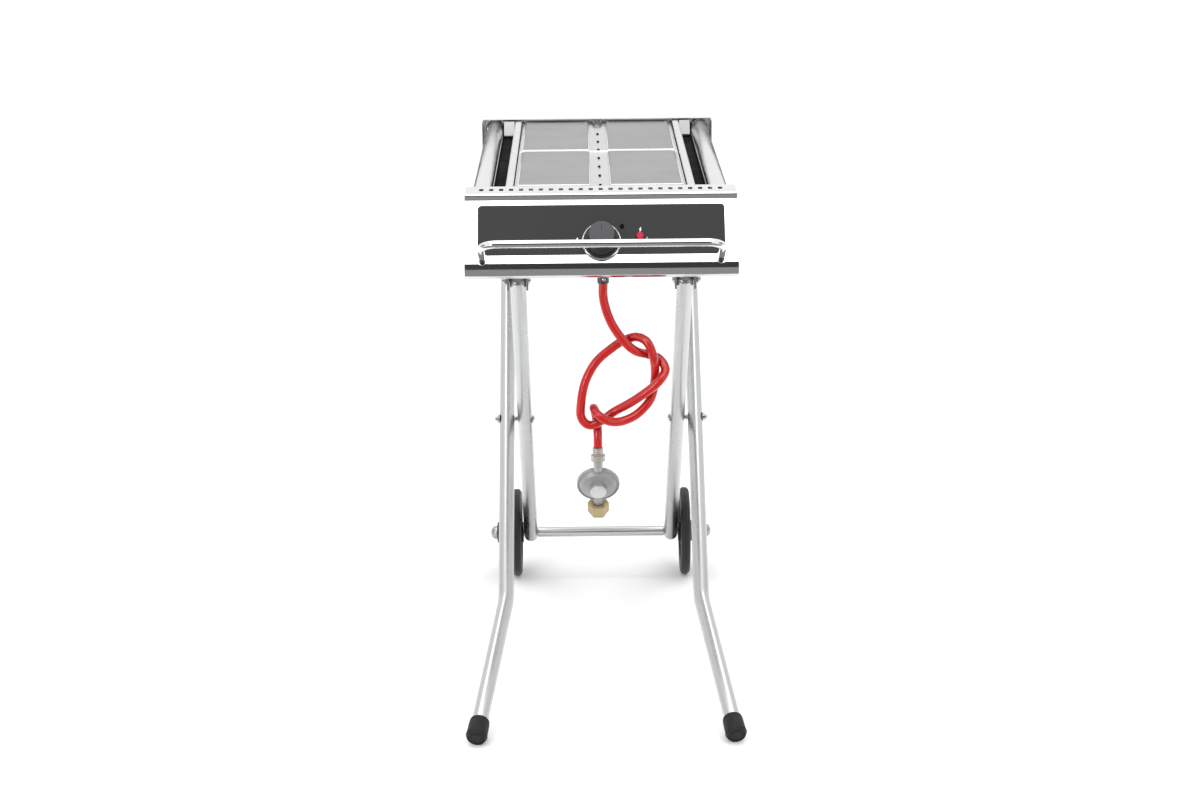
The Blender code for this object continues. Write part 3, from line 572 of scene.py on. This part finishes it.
def slab(outline, height):
    """A bmesh of a flat plate: the loop of points `outline`, raised by the vector `height`."""
    mesh = bmesh.new()
    face = mesh.faces.new([mesh.verts.new(point) for point in outline])
    grown = bmesh.ops.extrude_face_region(mesh, geom=[face])
    raised = [part for part in grown["geom"] if isinstance(part, bmesh.types.BMVert)]
    bmesh.ops.translate(mesh, vec=height, verts=raised)
    return mesh


def strip(name, one, two):
    """A mesh of one row of faces between two lines of points."""
    mesh = bmesh.new()
    rows = [[mesh.verts.new(point) for point in line] for line in (one, two)]
    for index in range(len(one) - 1):
        mesh.faces.new((rows[0][index], rows[0][index + 1], rows[1][index + 1], rows[1][index]))
    data = bpy.data.meshes.new(name)
    mesh.to_mesh(data)
    mesh.free()
    return data


# ---------------------------------------------------------------- gas hose and what is on it

def smooth_route(points, steps=12):
    """Points on a Catmull-Rom curve through `points`."""
    points = [Vector(point) for point in points]
    ends = [points[0] * 2 - points[1]] + points + [points[-1] * 2 - points[-2]]
    fine = []
    for a, b, c, d in zip(ends, ends[1:], ends[2:], ends[3:]):
        for index in range(steps):
            t = index / steps
            fine.append(0.5 * (2 * b + (c - a) * t + (2 * a - 5 * b + 4 * c - d) * t * t
                               + (3 * b - a - 3 * c + d) * t ** 3))
    return fine + [points[-1]]


def add_hose():
    line = smooth_route(HOSE_ROUTE)
    curve = bpy.data.curves.new("red_hose", "CURVE")
    curve.dimensions = "3D"
    curve.bevel_depth = HOSE_DIAMETER / 2
    curve.bevel_resolution = 10
    curve.use_fill_caps = True
    spline = curve.splines.new("POLY")
    spline.points.add(len(line) - 1)
    for point, place in zip(spline.points, line):
        point.co = (*place, 1.0)
    spline.use_smooth = True
    hose = new_piece("red_hose", curve, "hose", replaces=["gas_hose"])


def add_regulator():
    """The cast disc regulator with its rim bead and cap, tilted face down to the front."""
    for node, look, edge in (("hose_union", "nickel", 0.0004), ("regulator", "zinc", 0.0008),
                             ("cylinder_nut", "brass", 0.0008), ("inlet_elbow", "gunmetal", 0.0006)):
        dress(node, look, edge)
    elbow = middle("inlet_elbow")
    screw = lathe([(0, 0.0022)] + arc((0.0014, 0.0010), 0.0012, 90, 0, 5) + [(0.0026, -0.003), (0, -0.003)],
                  (elbow.x + 0.001, elbow.y - 0.0088, 0.6965), (0, -1, 0), 24)
    new_piece("elbow_screw", screw, "bright")
    tilt = math.radians(27)
    outward = Vector((0, -math.cos(tilt), -math.sin(tilt)))
    down = Vector((0, math.sin(tilt), -math.cos(tilt)))
    hose_x, hose_y, hose_z = HOSE_ROUTE[-1]
    union_top = hose_z - 2 * GAP
    union_length = 0.030
    neck = Vector((hose_x, hose_y, union_top - union_length - GAP))
    centre = neck + down * (0.0335 + 0.004)
    cap = [(0, 0.0208)] + arc((0.0112, 0.0196), 0.0012, 90, 0, 6) + [(0.0124, 0.0188), (0, 0.0188)]
    new_piece("regulator_cap", lathe(cap, centre, outward), "cap_metal")
    bead = arc((0.0318, 0.0030), 0.0011, 0, 360, 16)
    new_piece("regulator_bead", lathe(bead, centre, outward, 96), "zinc")
    crimps = bmesh.new()
    for height in (0.002, 0.0045, 0.007):
        bead = arc((0.0080, -height), 0.0007, 0, 360, 10)
        add(crimps, lathe(bead, (hose_x, hose_y, union_top), (0, 0, 1), 48))
    new_piece("ferrule_crimps", crimps, "nickel")


# ---------------------------------------------------------------- control panel

def console_outline():
    """The console's section: the lip, its short front drop, the panel, the nose and the underside."""
    foot = on_panel(0, PANEL_LENGTH)
    step = on_panel(0, LIP_DROP_DOWN)
    corners = [(LIP_BACK_Y, TOP_Z), (step.y, TOP_Z), (step.y, step.z), (foot.y, foot.z),
               (foot.y - 0.0016, foot.z - 0.0085), (foot.y - 0.0010, foot.z - 0.018),
               (foot.y + 0.005, BOTTOM_Z), (LIP_BACK_Y + 0.020, BOTTOM_Z)]
    return [Vector((0, y, z)) for y, z in corners]


def stadium(x, y, half_width, half_length, z, steps=5):
    """A slot's outline with rounded corners, at height z."""
    corner = min(half_width, half_length) * 0.45
    loop = []
    for sx, sy, start in ((1, 1, 0), (-1, 1, 90), (-1, -1, 180), (1, -1, 270)):
        centre = Vector((x + sx * (half_width - corner), y + sy * (half_length - corner), z))
        for index in range(steps + 1):
            angle = math.radians(start + 90 * index / steps)
            loop.append(centre + Vector((math.cos(angle), math.sin(angle), 0)) * corner)
    return loop


def add_console():
    corners = console_outline()
    bend_margin = 0.0004                # flat sheet keeps its own shading up to here beside each bend
    line = [corners[0]]
    for before, corner, after, radius in zip(corners, corners[1:], corners[2:], BEND_RADII):
        bend = rounded([before, corner, after], radius, 8)[1:-1]
        line += [bend[0] + (before - corner).normalized() * bend_margin, *bend]
        line.append(bend[-1] + (after - corner).normalized() * bend_margin)
    line.append(corners[-1])
    data = strip("console", *([(x, point.y, point.z) for point in line] for x in (-HALF_WIDTH, HALF_WIDTH)))
    console = new_piece("console", data, "sheet", replaces=["console_shell"], sharp=0)
    thicken(console, SHEET, -1).use_even_offset = True
    holes = bmesh.new()
    slot_y = (LIP_BACK_Y + LIP_FRONT_Y) / 2
    for index in range(SLOT_COUNT):
        x = (index - (SLOT_COUNT - 1) / 2) * SLOT_PITCH
        add(holes, slab(stadium(x, slot_y, 0.0033, 0.0085, TOP_Z - 0.008), Vector((0, 0, 0.016))))
    across, down = HANDLE_AT
    for at, radius in ((KNOB_AT, 0.0065), (PIEZO_AT, 0.0075), ((across, down), 0.0065),
                       ((-across, down), 0.0065)):
        add(holes, drill(radius, on_panel(*at), PANEL_OUT))
    elbow = middle("inlet_elbow")
    add(holes, drill(0.0095, (elbow.x, elbow.y, BOTTOM_Z), (0, 0, 1)))
    punch(console, holes, "sheet")
    console.data.shade_smooth()
    console.data.set_sharp_from_angle(angle=math.radians(30))
    # Painted shade: a near-black sheet just under the slots, so that they read as dark holes into the
    # console.
    slot_shade_sheet = slab(stadium(0, slot_y, 0.195, 0.012, TOP_Z - 0.0024), Vector((0, 0, -0.0008)))
    new_piece("slot_painted_shade", slot_shade_sheet, "pan_and_shade")
    for name, _ in SIDES:
        dress("console_cheek_" + name, "sheet", 0.0004)


def mark(name, points, at, look="ink"):
    """A printed mark on the fascia: `points` are (across, up) from the place `at` on the panel."""
    loop = [on_panel(at[0] + x, at[1] - y, FASCIA_TOP) for x, y in points]
    new_piece(name, slab(loop, PANEL_OUT * MARK_THICKNESS), look, sharp=20)


def add_fascia():
    dress("control_fascia", "fascia")
    triangle = [(-0.0022, -0.0018), (0.0022, -0.0018), (0, 0.0024)]
    mark("knob_pointer_mark", triangle, (-0.0362, 0.0742))
    bolt = [(0.0004, 0.0046), (-0.0020, 0.0004), (-0.0004, 0.0004), (-0.0014, -0.0042), (0.0022, 0.0014),
            (0.0006, 0.0014), (0.0018, 0.0046)]
    mark("spark_mark", bolt, (0.0582, 0.0615))
    mark("button_pointer_mark", triangle, (0.0682, 0.0735), "grey_ink")
    flame = []
    for angle in range(0, 360, 30):
        tip = 0.0012 if angle == 90 else 0
        flame.append((0.0036 * math.cos(math.radians(angle)), 0.0040 * math.sin(math.radians(angle)) + tip))
    mark("flame_mark", flame, (0.0310, 0.0555), "dark_ink")


def add_controls():
    face = 0.0016                       # height of the ring's and the button's seat over the panel
    seat = on_panel(*KNOB_AT, face)
    ring = [(0.0276, 0), (0.0276, 0.0016), (0.0278, 0.0020), (0.0280, 0.0020), (0.0298, 0.0006),
            (0.0300, 0.0003), (0.0300, 0), (0.0276, 0)]
    new_piece("bezel_ring", lathe(ring, seat, PANEL_OUT, 96), "chrome",
              replaces=["knob_bezel"])
    disc = [(0.0062, 0.0001), (0.0062, 0.0003), (0.0273, 0.0003), (0.0275, 0.0001), (0.0062, 0.0001)]
    new_piece("bezel_plate", lathe(disc, seat, PANEL_OUT, 96), "knob")
    add_knob(on_panel(*KNOB_AT, face + 0.004))
    at = on_panel(*PIEZO_AT, face)
    dome = [(0, 0.0100)] + arc((0.0038, 0.0082), 0.0018, 90, 0, 8) + [(0.0057, -0.003), (0, -0.003)]
    new_piece("button_cap", lathe(dome, at, PANEL_OUT, 48), "red", "button", ["piezo_button"])
    collar = [(0, -0.008), (0.0062, -0.008), (0.0062, 0.0020)] + arc((0.0069, 0.0024), 0.0007, 180, 0, 8)
    collar += [(0.0074, -0.0180), (0.0068, -0.0300), (0, -0.0300)]
    new_piece("igniter_body", lathe(collar, at, PANEL_OUT, 48), "knob",
              replaces=["piezo_igniter"])
    dress("valve_stem", "brass", 0.0005)
    dress("gas_valve", "brass", 0.0005)


def add_knob(foot):
    """The fluted grip, its face and the raised line on it, from `foot` out along the panel's normal."""
    grip = [(0, 0.0300), (0.0180, 0.0300)] + arc((0.0188, 0.0288), 0.0012, 85, 5, 6)
    grip += [(0.0201, 0.0260), (0.0206, 0.0080)] + arc((0.0218, 0.0064), 0.0010, 180, 270, 4)
    grip += arc((0.0218, 0.0040), 0.0012, 90, 0, 5)
    grip += [(0.0230, 0.0006), (0.0224, 0), (0.0045, 0), (0.0045, 0.018), (0, 0.018)]

    def fluted(angle, radius, height):
        """Eighteen shallow finger flutes round the grip."""
        if 0.008 < height < 0.0285 and radius > 0.018:
            return 1 - 0.022 * (0.5 + 0.5 * math.cos(angle * 18))
        return 1.0

    body = "knob_turning"
    new_piece("knob_grip", lathe(grip, foot, PANEL_OUT, 180, fluted), "knob", body, ["knob"],
              sharp=30)
    disc = [(0, 0.0318)] + arc((0.0180, 0.0306), 0.0012, 90, 0, 5) + [(0.0192, 0.0301), (0, 0.0301)]
    new_piece("knob_face", lathe(disc, foot, PANEL_OUT, 96), "knob_face", body)
    up = -PANEL_DOWN
    ridge = bar([foot + up * 0.0050 + PANEL_OUT * 0.0312, foot + up * 0.0150 + PANEL_OUT * 0.0312], 0.0008,
                edge=0.0006, sides=16)
    new_piece("knob_line", ridge, "knob", body)


def add_handle():
    across, down = HANDLE_AT
    reach, root = 0.068, -0.008         # from the panel out to the grip, and in to the rod's ends
    corners = [on_panel(-across, down, root), on_panel(-across, down, reach),
               on_panel(across, down, reach), on_panel(across, down, root)]
    grip = bar(corners, 0.006, 0.024, sides=48, bend_steps=24)
    new_piece("handle_bar", grip, "bright", replaces=["front_handle"])
    washer = [(0.0063, 0), (0.0063, 0.0010)] + arc((0.0090, 0.0004), 0.0006, 90, 0, 4)
    washer += [(0.0096, 0), (0.0063, 0)]
    for name, side in SIDES:
        dress("handle_nut_" + name, "fitting", 0.0005)
        at = on_panel(side * across, down, GAP)
        new_piece("handle_washer_" + name, lathe(washer, at, PANEL_OUT, 48), "bright")


# ---------------------------------------------------------------- burner head

def add_head():
    dress("rear_plate", "sheet", 0.0005)
    dress("floor_pan", "sheet", 0.0004)
    dress("rear_clip", "gunmetal")
    lip_y = REAR_Y - 0.0110
    corner_section = [(lip_y, 0.8200), (lip_y - 0.0240, 0.7985), (lip_y - 0.0240, 0.7955),
                      (lip_y + 0.0010, 0.7955), (lip_y + 0.0010, 0.8200)]
    for name, side in SIDES:
        dress("side_wall_" + name, "sheet", 0.0003)
        dress("cassette_rail_" + name, "rail")
        low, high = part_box("side_rail_" + name)
        x, z, radius = (low.x + high.x) / 2, (low.z + high.z) / 2, (high.z - low.z) / 2
        rail = bar([(x, low.y, z), (x, high.y, z)], radius, edge=0.0006, sides=72)
        new_piece("side_tube_" + name, rail, "rail", replaces=["side_rail_" + name])
        bore, outer = radius + 0.0002, radius + 0.0014
        collar = [(bore, 0.0080)] + arc((radius + 0.0006, 0.0070), 0.0008, 90, 0, 6)
        collar += [(outer, 0.0010), (outer, 0), (bore, 0), (bore, 0.0080)]
        turned = lathe(collar, (x, high.y - 0.0004, z), (0, -1, 0), 72)
        new_piece("rail_collar_" + name, turned, "gunmetal")
        x = side * (GUTTER_X[0] + 0.001)
        block = slab([(x, y, z) for y, z in corner_section], Vector((side * 0.0190, 0, 0)))
        soften(new_piece("rear_corner_" + name, block, "plate"), 0.0008)
    add_gutters()
    add_deck()


def add_gutters():
    """Near-black, dull liners in the channels between the cassette and the side rails."""
    inner, outer = GUTTER_X
    floor_z = GUTTER_Z + 0.0004
    section = [(outer, floor_z + 0.010), (outer, floor_z), (inner + 0.0003, floor_z),
               (inner + 0.0003, floor_z + 0.014)]
    for name, side in SIDES:
        path = rounded([Vector((side * x, 0, z)) for x, z in section], 0.002, 4)
        rows = ([(point.x, y, point.z) for point in path] for y in (LIP_BACK_Y + 0.0012, REAR_Y - 0.003))
        gutter = new_piece("gutter_liner_" + name, strip("gutter", *rows), "pan_and_shade", sharp=30)
        thicken(gutter, 0.0006, 0)


def add_deck():
    dress("burner_deck", "deck", 0.0003)
    for end in ("front", "rear"):
        for name, _ in SIDES:
            node = "radiant_plate_%s_%s" % (end, name)
            new_piece("plate_%s_%s" % (end, name), pressed_plate(*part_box(node)), "plate",
                      replaces=[node], sharp=25)
    add_plate_rims()
    screw = [(0, 0.0024)] + arc((0.0010, 0.0014), 0.0010, 80, 0, 5)
    screw += [(0.0020, 0.0008), (0.0024, 0.0), (0.0024, -0.0040), (0, -0.0040)]
    screws = bmesh.new()
    for y in strip_hole_places():
        add(screws, lathe(screw, (0, y, DECK_Z), (0, 0, 1), 24))
    new_piece("strip_screws", screws, "pan_and_shade")


def strip_hole_places(count=7, pitch=0.082, first=0.030):
    """Where the holes of the centre strip lie along Y."""
    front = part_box("burner_deck")[0].y
    return [front + first + index * pitch for index in range(count)]


def add_plate_rims():
    """Bright rolled rims round each plate, along the deck's sides and across the gap between its halves."""
    rims = bmesh.new()
    reach = 0.0014
    for end in ("front", "rear"):
        for name, _ in SIDES:
            low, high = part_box("radiant_plate_%s_%s" % (end, name))
            z = DECK_Z + reach
            corners = [(low.x - reach, low.y - reach, z), (high.x + reach, low.y - reach, z),
                       (high.x + reach, high.y + reach, z), (low.x - reach, high.y + reach, z)]
            for start, finish in zip(corners, corners[1:] + corners[:1]):
                add(rims, bar([start, finish], reach, edge=0.0008, sides=16))
    new_piece("plate_rims", rims, "rail")
    low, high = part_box("burner_deck")
    hem_z = high.z + 0.0006
    hems = bmesh.new()
    for x in (low.x + 0.0011, high.x - 0.0011):
        ends = [(x, low.y + 0.001, hem_z), (x, high.y - 0.001, hem_z)]
        add(hems, bar(ends, 0.0008, edge=0.0004, sides=16))
    new_piece("deck_hems", hems, "rail")
    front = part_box("radiant_plate_front_left")[1].y
    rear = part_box("radiant_plate_rear_left")[0].y
    x, crest_z = low.x + 0.002, DECK_Z + 0.0018
    ridge = slab([(x, front + 0.0030, DECK_Z), (x, front + 0.0060, crest_z), (x, rear - 0.0060, crest_z),
                  (x, rear - 0.0030, DECK_Z)], Vector((high.x - low.x - 0.004, 0, 0)))
    soften(new_piece("cross_ridge", ridge, "rail"), 0.0006)


def pressed_plate(low, high, border=0.0045, sink=0.0006, corner=0.003):
    """A radiant plate with rounded corners, a soft raised rim and a field set slightly below it."""
    mesh = bmesh.new()
    rings = []
    steps = ((0.0, low.z), (0.0, high.z - 0.0008), (0.0003, high.z - 0.0003), (0.0009, high.z),
             (border - 0.0015, high.z), (border, high.z - sink), (border + 0.004, high.z - sink - 0.0001))
    for inset, z in steps:
        loop = []
        radius = max(corner - inset, 0.0006)
        for sx, sy, start in ((1, 1, 0), (-1, 1, 90), (-1, -1, 180), (1, -1, 270)):
            x = (high.x if sx > 0 else low.x) - sx * (inset + radius)
            y = (high.y if sy > 0 else low.y) - sy * (inset + radius)
            for index in range(7):
                angle = math.radians(start + 15 * index)
                loop.append(mesh.verts.new((x + radius * math.cos(angle), y + radius * math.sin(angle), z)))
        rings.append(loop)
    for lower, upper in zip(rings, rings[1:]):
        for index in range(len(lower)):
            after = (index + 1) % len(lower)
            mesh.faces.new((lower[index], lower[after], upper[after], upper[index]))
    mesh.faces.new(rings[0][::-1])
    mesh.faces.new(rings[-1])
    return mesh


def add_burners():
    """The ported pipes under the deck, with their injectors, manifold and electrode."""
    port_count = 36
    for name, _ in SIDES:
        node = "burner_tube_" + name
        low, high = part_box(node)
        x, z, radius = (low.x + high.x) / 2, (low.z + high.z) / 2, (high.z - low.z) / 2
        pipe = bar([(x, low.y, z), (x, high.y, z)], radius, edge=0.003, sides=48)
        burner = new_piece("burner_" + name, pipe, "inside", replaces=[node])
        ports = bmesh.new()
        for index in range(port_count):
            y = low.y + 0.05 + index * (high.y - low.y - 0.09) / (port_count - 1)
            add(ports, drill(0.0013, (x, y, high.z), (0, 0, 1), (0.01, -0.004), 10))
        punch(burner, ports, "inside")
        dress("injector_" + name, "brass", 0.0004)
    dress("gas_manifold", "brass", 0.0006)
    dress("ignition_electrode", "ceramic")


# ---------------------------------------------------------------- folding stand

def add_stand():
    for name, side in SIDES:
        offset = Vector((side * WHEEL_LEG_X, 0, 0))
        axle = Vector((offset.x, AXLE.y, AXLE.z))
        leg = bar([FRONT_HINGE + offset - LEG_DOWN * 0.009, axle + LEG_DOWN * 0.016], LEG_RADIUS,
                  edge=0.005, sides=56)
        new_piece("wheel_leg_tube_" + name, leg, "tube", "wheel_legs",
                  ["wheel_leg_" + name])
        offset = Vector((side * FOOT_LEG_X, 0, 0))
        top = REAR_SADDLE - FOOT_DOWN * 0.014 + offset
        knee = PIVOT + FOOT_DOWN * KNEE_DOWN + offset
        tip = Vector((side * FOOT_TIP[0], *FOOT_TIP[1:]))
        leg = bar([top, knee, tip], LEG_RADIUS, 0.060, edge=0.003, sides=56, bend_steps=24)
        new_piece("foot_leg_tube_" + name, leg, "tube", "foot_legs", ["foot_leg_" + name])
        add_foot_cap(name, knee, tip)
        for node in ("front_bracket_", "hinge_bolt_", "rear_saddle_", "pivot_bolt_"):
            dress(node + name, "fitting", 0.0004)
        add_pivot_washers(name, side)
    add_cross_bar("cross_tube", "top_cross_tube", REAR_SADDLE, CROSS_RADIUS, "tube", "foot_legs", 0.002, 40)
    add_cross_bar("axle_cross_tube", "axle_tube", AXLE, CROSS_RADIUS, "tube", "wheel_legs", 0.0008, 40)
    add_cross_bar("axle_shaft", "axle_rod", AXLE, AXLE_RADIUS, "fitting", "wheel_legs", 0.001, 32)


def add_cross_bar(name, node, at, radius, look, body, edge, sides):
    """A level bar across the stand in place of a CAD node, through the point `at`."""
    low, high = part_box(node)
    made = bar([(low.x, at.y, at.z), (high.x, at.y, at.z)], radius, edge=edge, sides=sides)
    new_piece(name, made, look, body, [node])


def add_pivot_washers(name, side):
    """Thin washers on both faces of the crossing legs."""
    washers = bmesh.new()
    profile = [(0.0045, 0.0005), (0.0080, 0.0005), (0.0084, 0.0001), (0.0084, -0.0003), (0.0045, -0.0003),
               (0.0045, 0.0005)]
    between = (WHEEL_LEG_X + FOOT_LEG_X) / 2
    for x in (WHEEL_LEG_X - LEG_RADIUS - 0.0008, FOOT_LEG_X + LEG_RADIUS + 0.0004, between):
        add(washers, lathe(profile, (side * x, PIVOT.y, PIVOT.z), (side, 0, 0), 40))
    new_piece("pivot_washers_" + name, washers, "fitting", "foot_legs")


def add_foot_cap(name, knee, tip):
    """The ribbed rubber sleeve over a foot leg's end."""
    along = (tip - knee).normalized()
    sleeve, wall, outer, bore = 0.030, 0.006, 0.017, LEG_RADIUS + GAP
    sole = -sleeve - wall
    profile = [(0, -sleeve), (bore, -sleeve), (bore, -0.0008)]
    profile += arc((bore + 0.0012, -0.0010), 0.0010, 150, 30, 5)
    profile += [(outer - 0.0016, -0.003), (outer - 0.0012, -0.006), (outer - 0.0015, -0.0068),
                (outer - 0.0011, -0.0076)]
    profile += arc((outer - 0.0012, -sleeve - 0.0002), 0.0011, 60, -20, 6)
    profile += arc((0.0136, sole + 0.0012), 0.0012, 10, -90, 5)
    profile += [(0.0125, sole), (0.0118, sole + 0.0008), (0.0098, sole + 0.0008), (0.0090, sole), (0, sole)]
    base = tip - along * (sleeve - GAP)
    new_piece("foot_sleeve_" + name, lathe(profile, base, -along, 72), "rubber", "foot_legs",
              ["foot_cap_" + name])


def add_wheels():
    for name, side in SIDES:
        body = "wheel_%s_spin" % name
        centre = Vector((side * WHEEL_X, AXLE.y, AXLE.z))
        tyre = lathe(tyre_profile(), centre, (side, 0, 0), 144)
        new_piece("tyre_" + name, tyre, "tyre", body, ["wheel_" + name], 30)
        disc = lathe(disc_profile(), centre, (side, 0, 0), 96)
        ribs = bmesh.new()
        for index in range(RIB_COUNT):
            angle = 2 * math.pi * index / RIB_COUNT
            heading = Vector((0, math.cos(angle), math.sin(angle)))
            for face in (-1, 1):
                start = centre + Vector((side * face * (DISC_WEB + 0.0006), 0, 0))
                ends = [start + heading * 0.0180, start + heading * 0.0602]
                add(ribs, bar(ends, 0.0020, edge=0.001, sides=16))
        new_piece("wheel_disc_" + name, disc, "hub", body, ["wheel_" + name], 30)
        new_piece("wheel_ribs_" + name, ribs, "hub", body)
        low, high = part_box("hub_cap_" + name)
        base = low.x if side > 0 else high.x
        height = high.x - low.x
        reach = (high.z - low.z) / 2 - 0.0001
        cap = [(0, height)]
        for angle in range(10, 81, 10):
            lift = height * math.cos(math.radians(angle)) ** 0.8
            cap.append((reach * math.sin(math.radians(angle)), lift))
        cap += [(reach, 0.0004), (reach - 0.0004, 0), (0.0064, 0), (0.0064, height * 0.55),
                (0, height * 0.55)]
        turned = lathe(cap, (base, AXLE.y, AXLE.z), (side, 0, 0), 64)
        new_piece("axle_cap_" + name, turned, "cap", "wheel_legs", ["hub_cap_" + name], 30)


def tyre_profile():
    """The rubber tread: (radius, height) about the wheel's middle, with a fine groove round its crown."""
    tread = [(0.0660, 0.0078)] + arc((0.0712, 0), 0.0088, 75, 12, 8) + [(0.0796, 0.0012), (0.0790, 0.0006)]
    tread += [(0.0790, -0.0006), (0.0796, -0.0012)] + arc((0.0712, 0), 0.0088, -12, -75, 8)
    return tread + [(0.0660, -0.0078), (0.0648, -0.0066), (0.0648, 0.0066), (0.0660, 0.0078)]


def disc_profile():
    """The moulded wheel inside the tyre: a long outer hub, a thin web and a flanged rim."""
    half, web = 0.009, DISC_WEB
    outer_hub, inner_hub = 0.036, WHEEL_X - WHEEL_LEG_X - LEG_RADIUS - 0.0008
    rim = [(0.0063, outer_hub), (0.0178, outer_hub)] + arc((0.0178, outer_hub - 0.0012), 0.0012, 90, 0, 4)
    rim += [(0.0190, half + 0.002), (0.0205, 0.0050), (0.0230, web), (0.0575, web), (0.0590, 0.0052),
            (0.0600, half - 0.0016)]
    rim += arc((0.0612, half - 0.0016), 0.0010, 180, 90, 3)
    rim += [(0.0640, half - 0.0010), (0.0648, half - 0.0018), (0.0648, -half + 0.0018),
            (0.0640, -half + 0.0010), (0.0612, -half + 0.0006), (0.0600, -half + 0.0016), (0.0590, -0.0052),
            (0.0575, -web), (0.0230, -web), (0.0190, -0.0050)]
    return rim + [(0.0190, -inner_hub), (0.0063, -inner_hub), (0.0063, outer_hub)]


# ---------------------------------------------------------------- everything, in order

add_camera()
LOOKS = make_materials()
add_hose()
add_regulator()
add_console()
add_fascia()
add_controls()
add_handle()
add_head()
add_burners()
add_stand()
add_wheels()
studio()
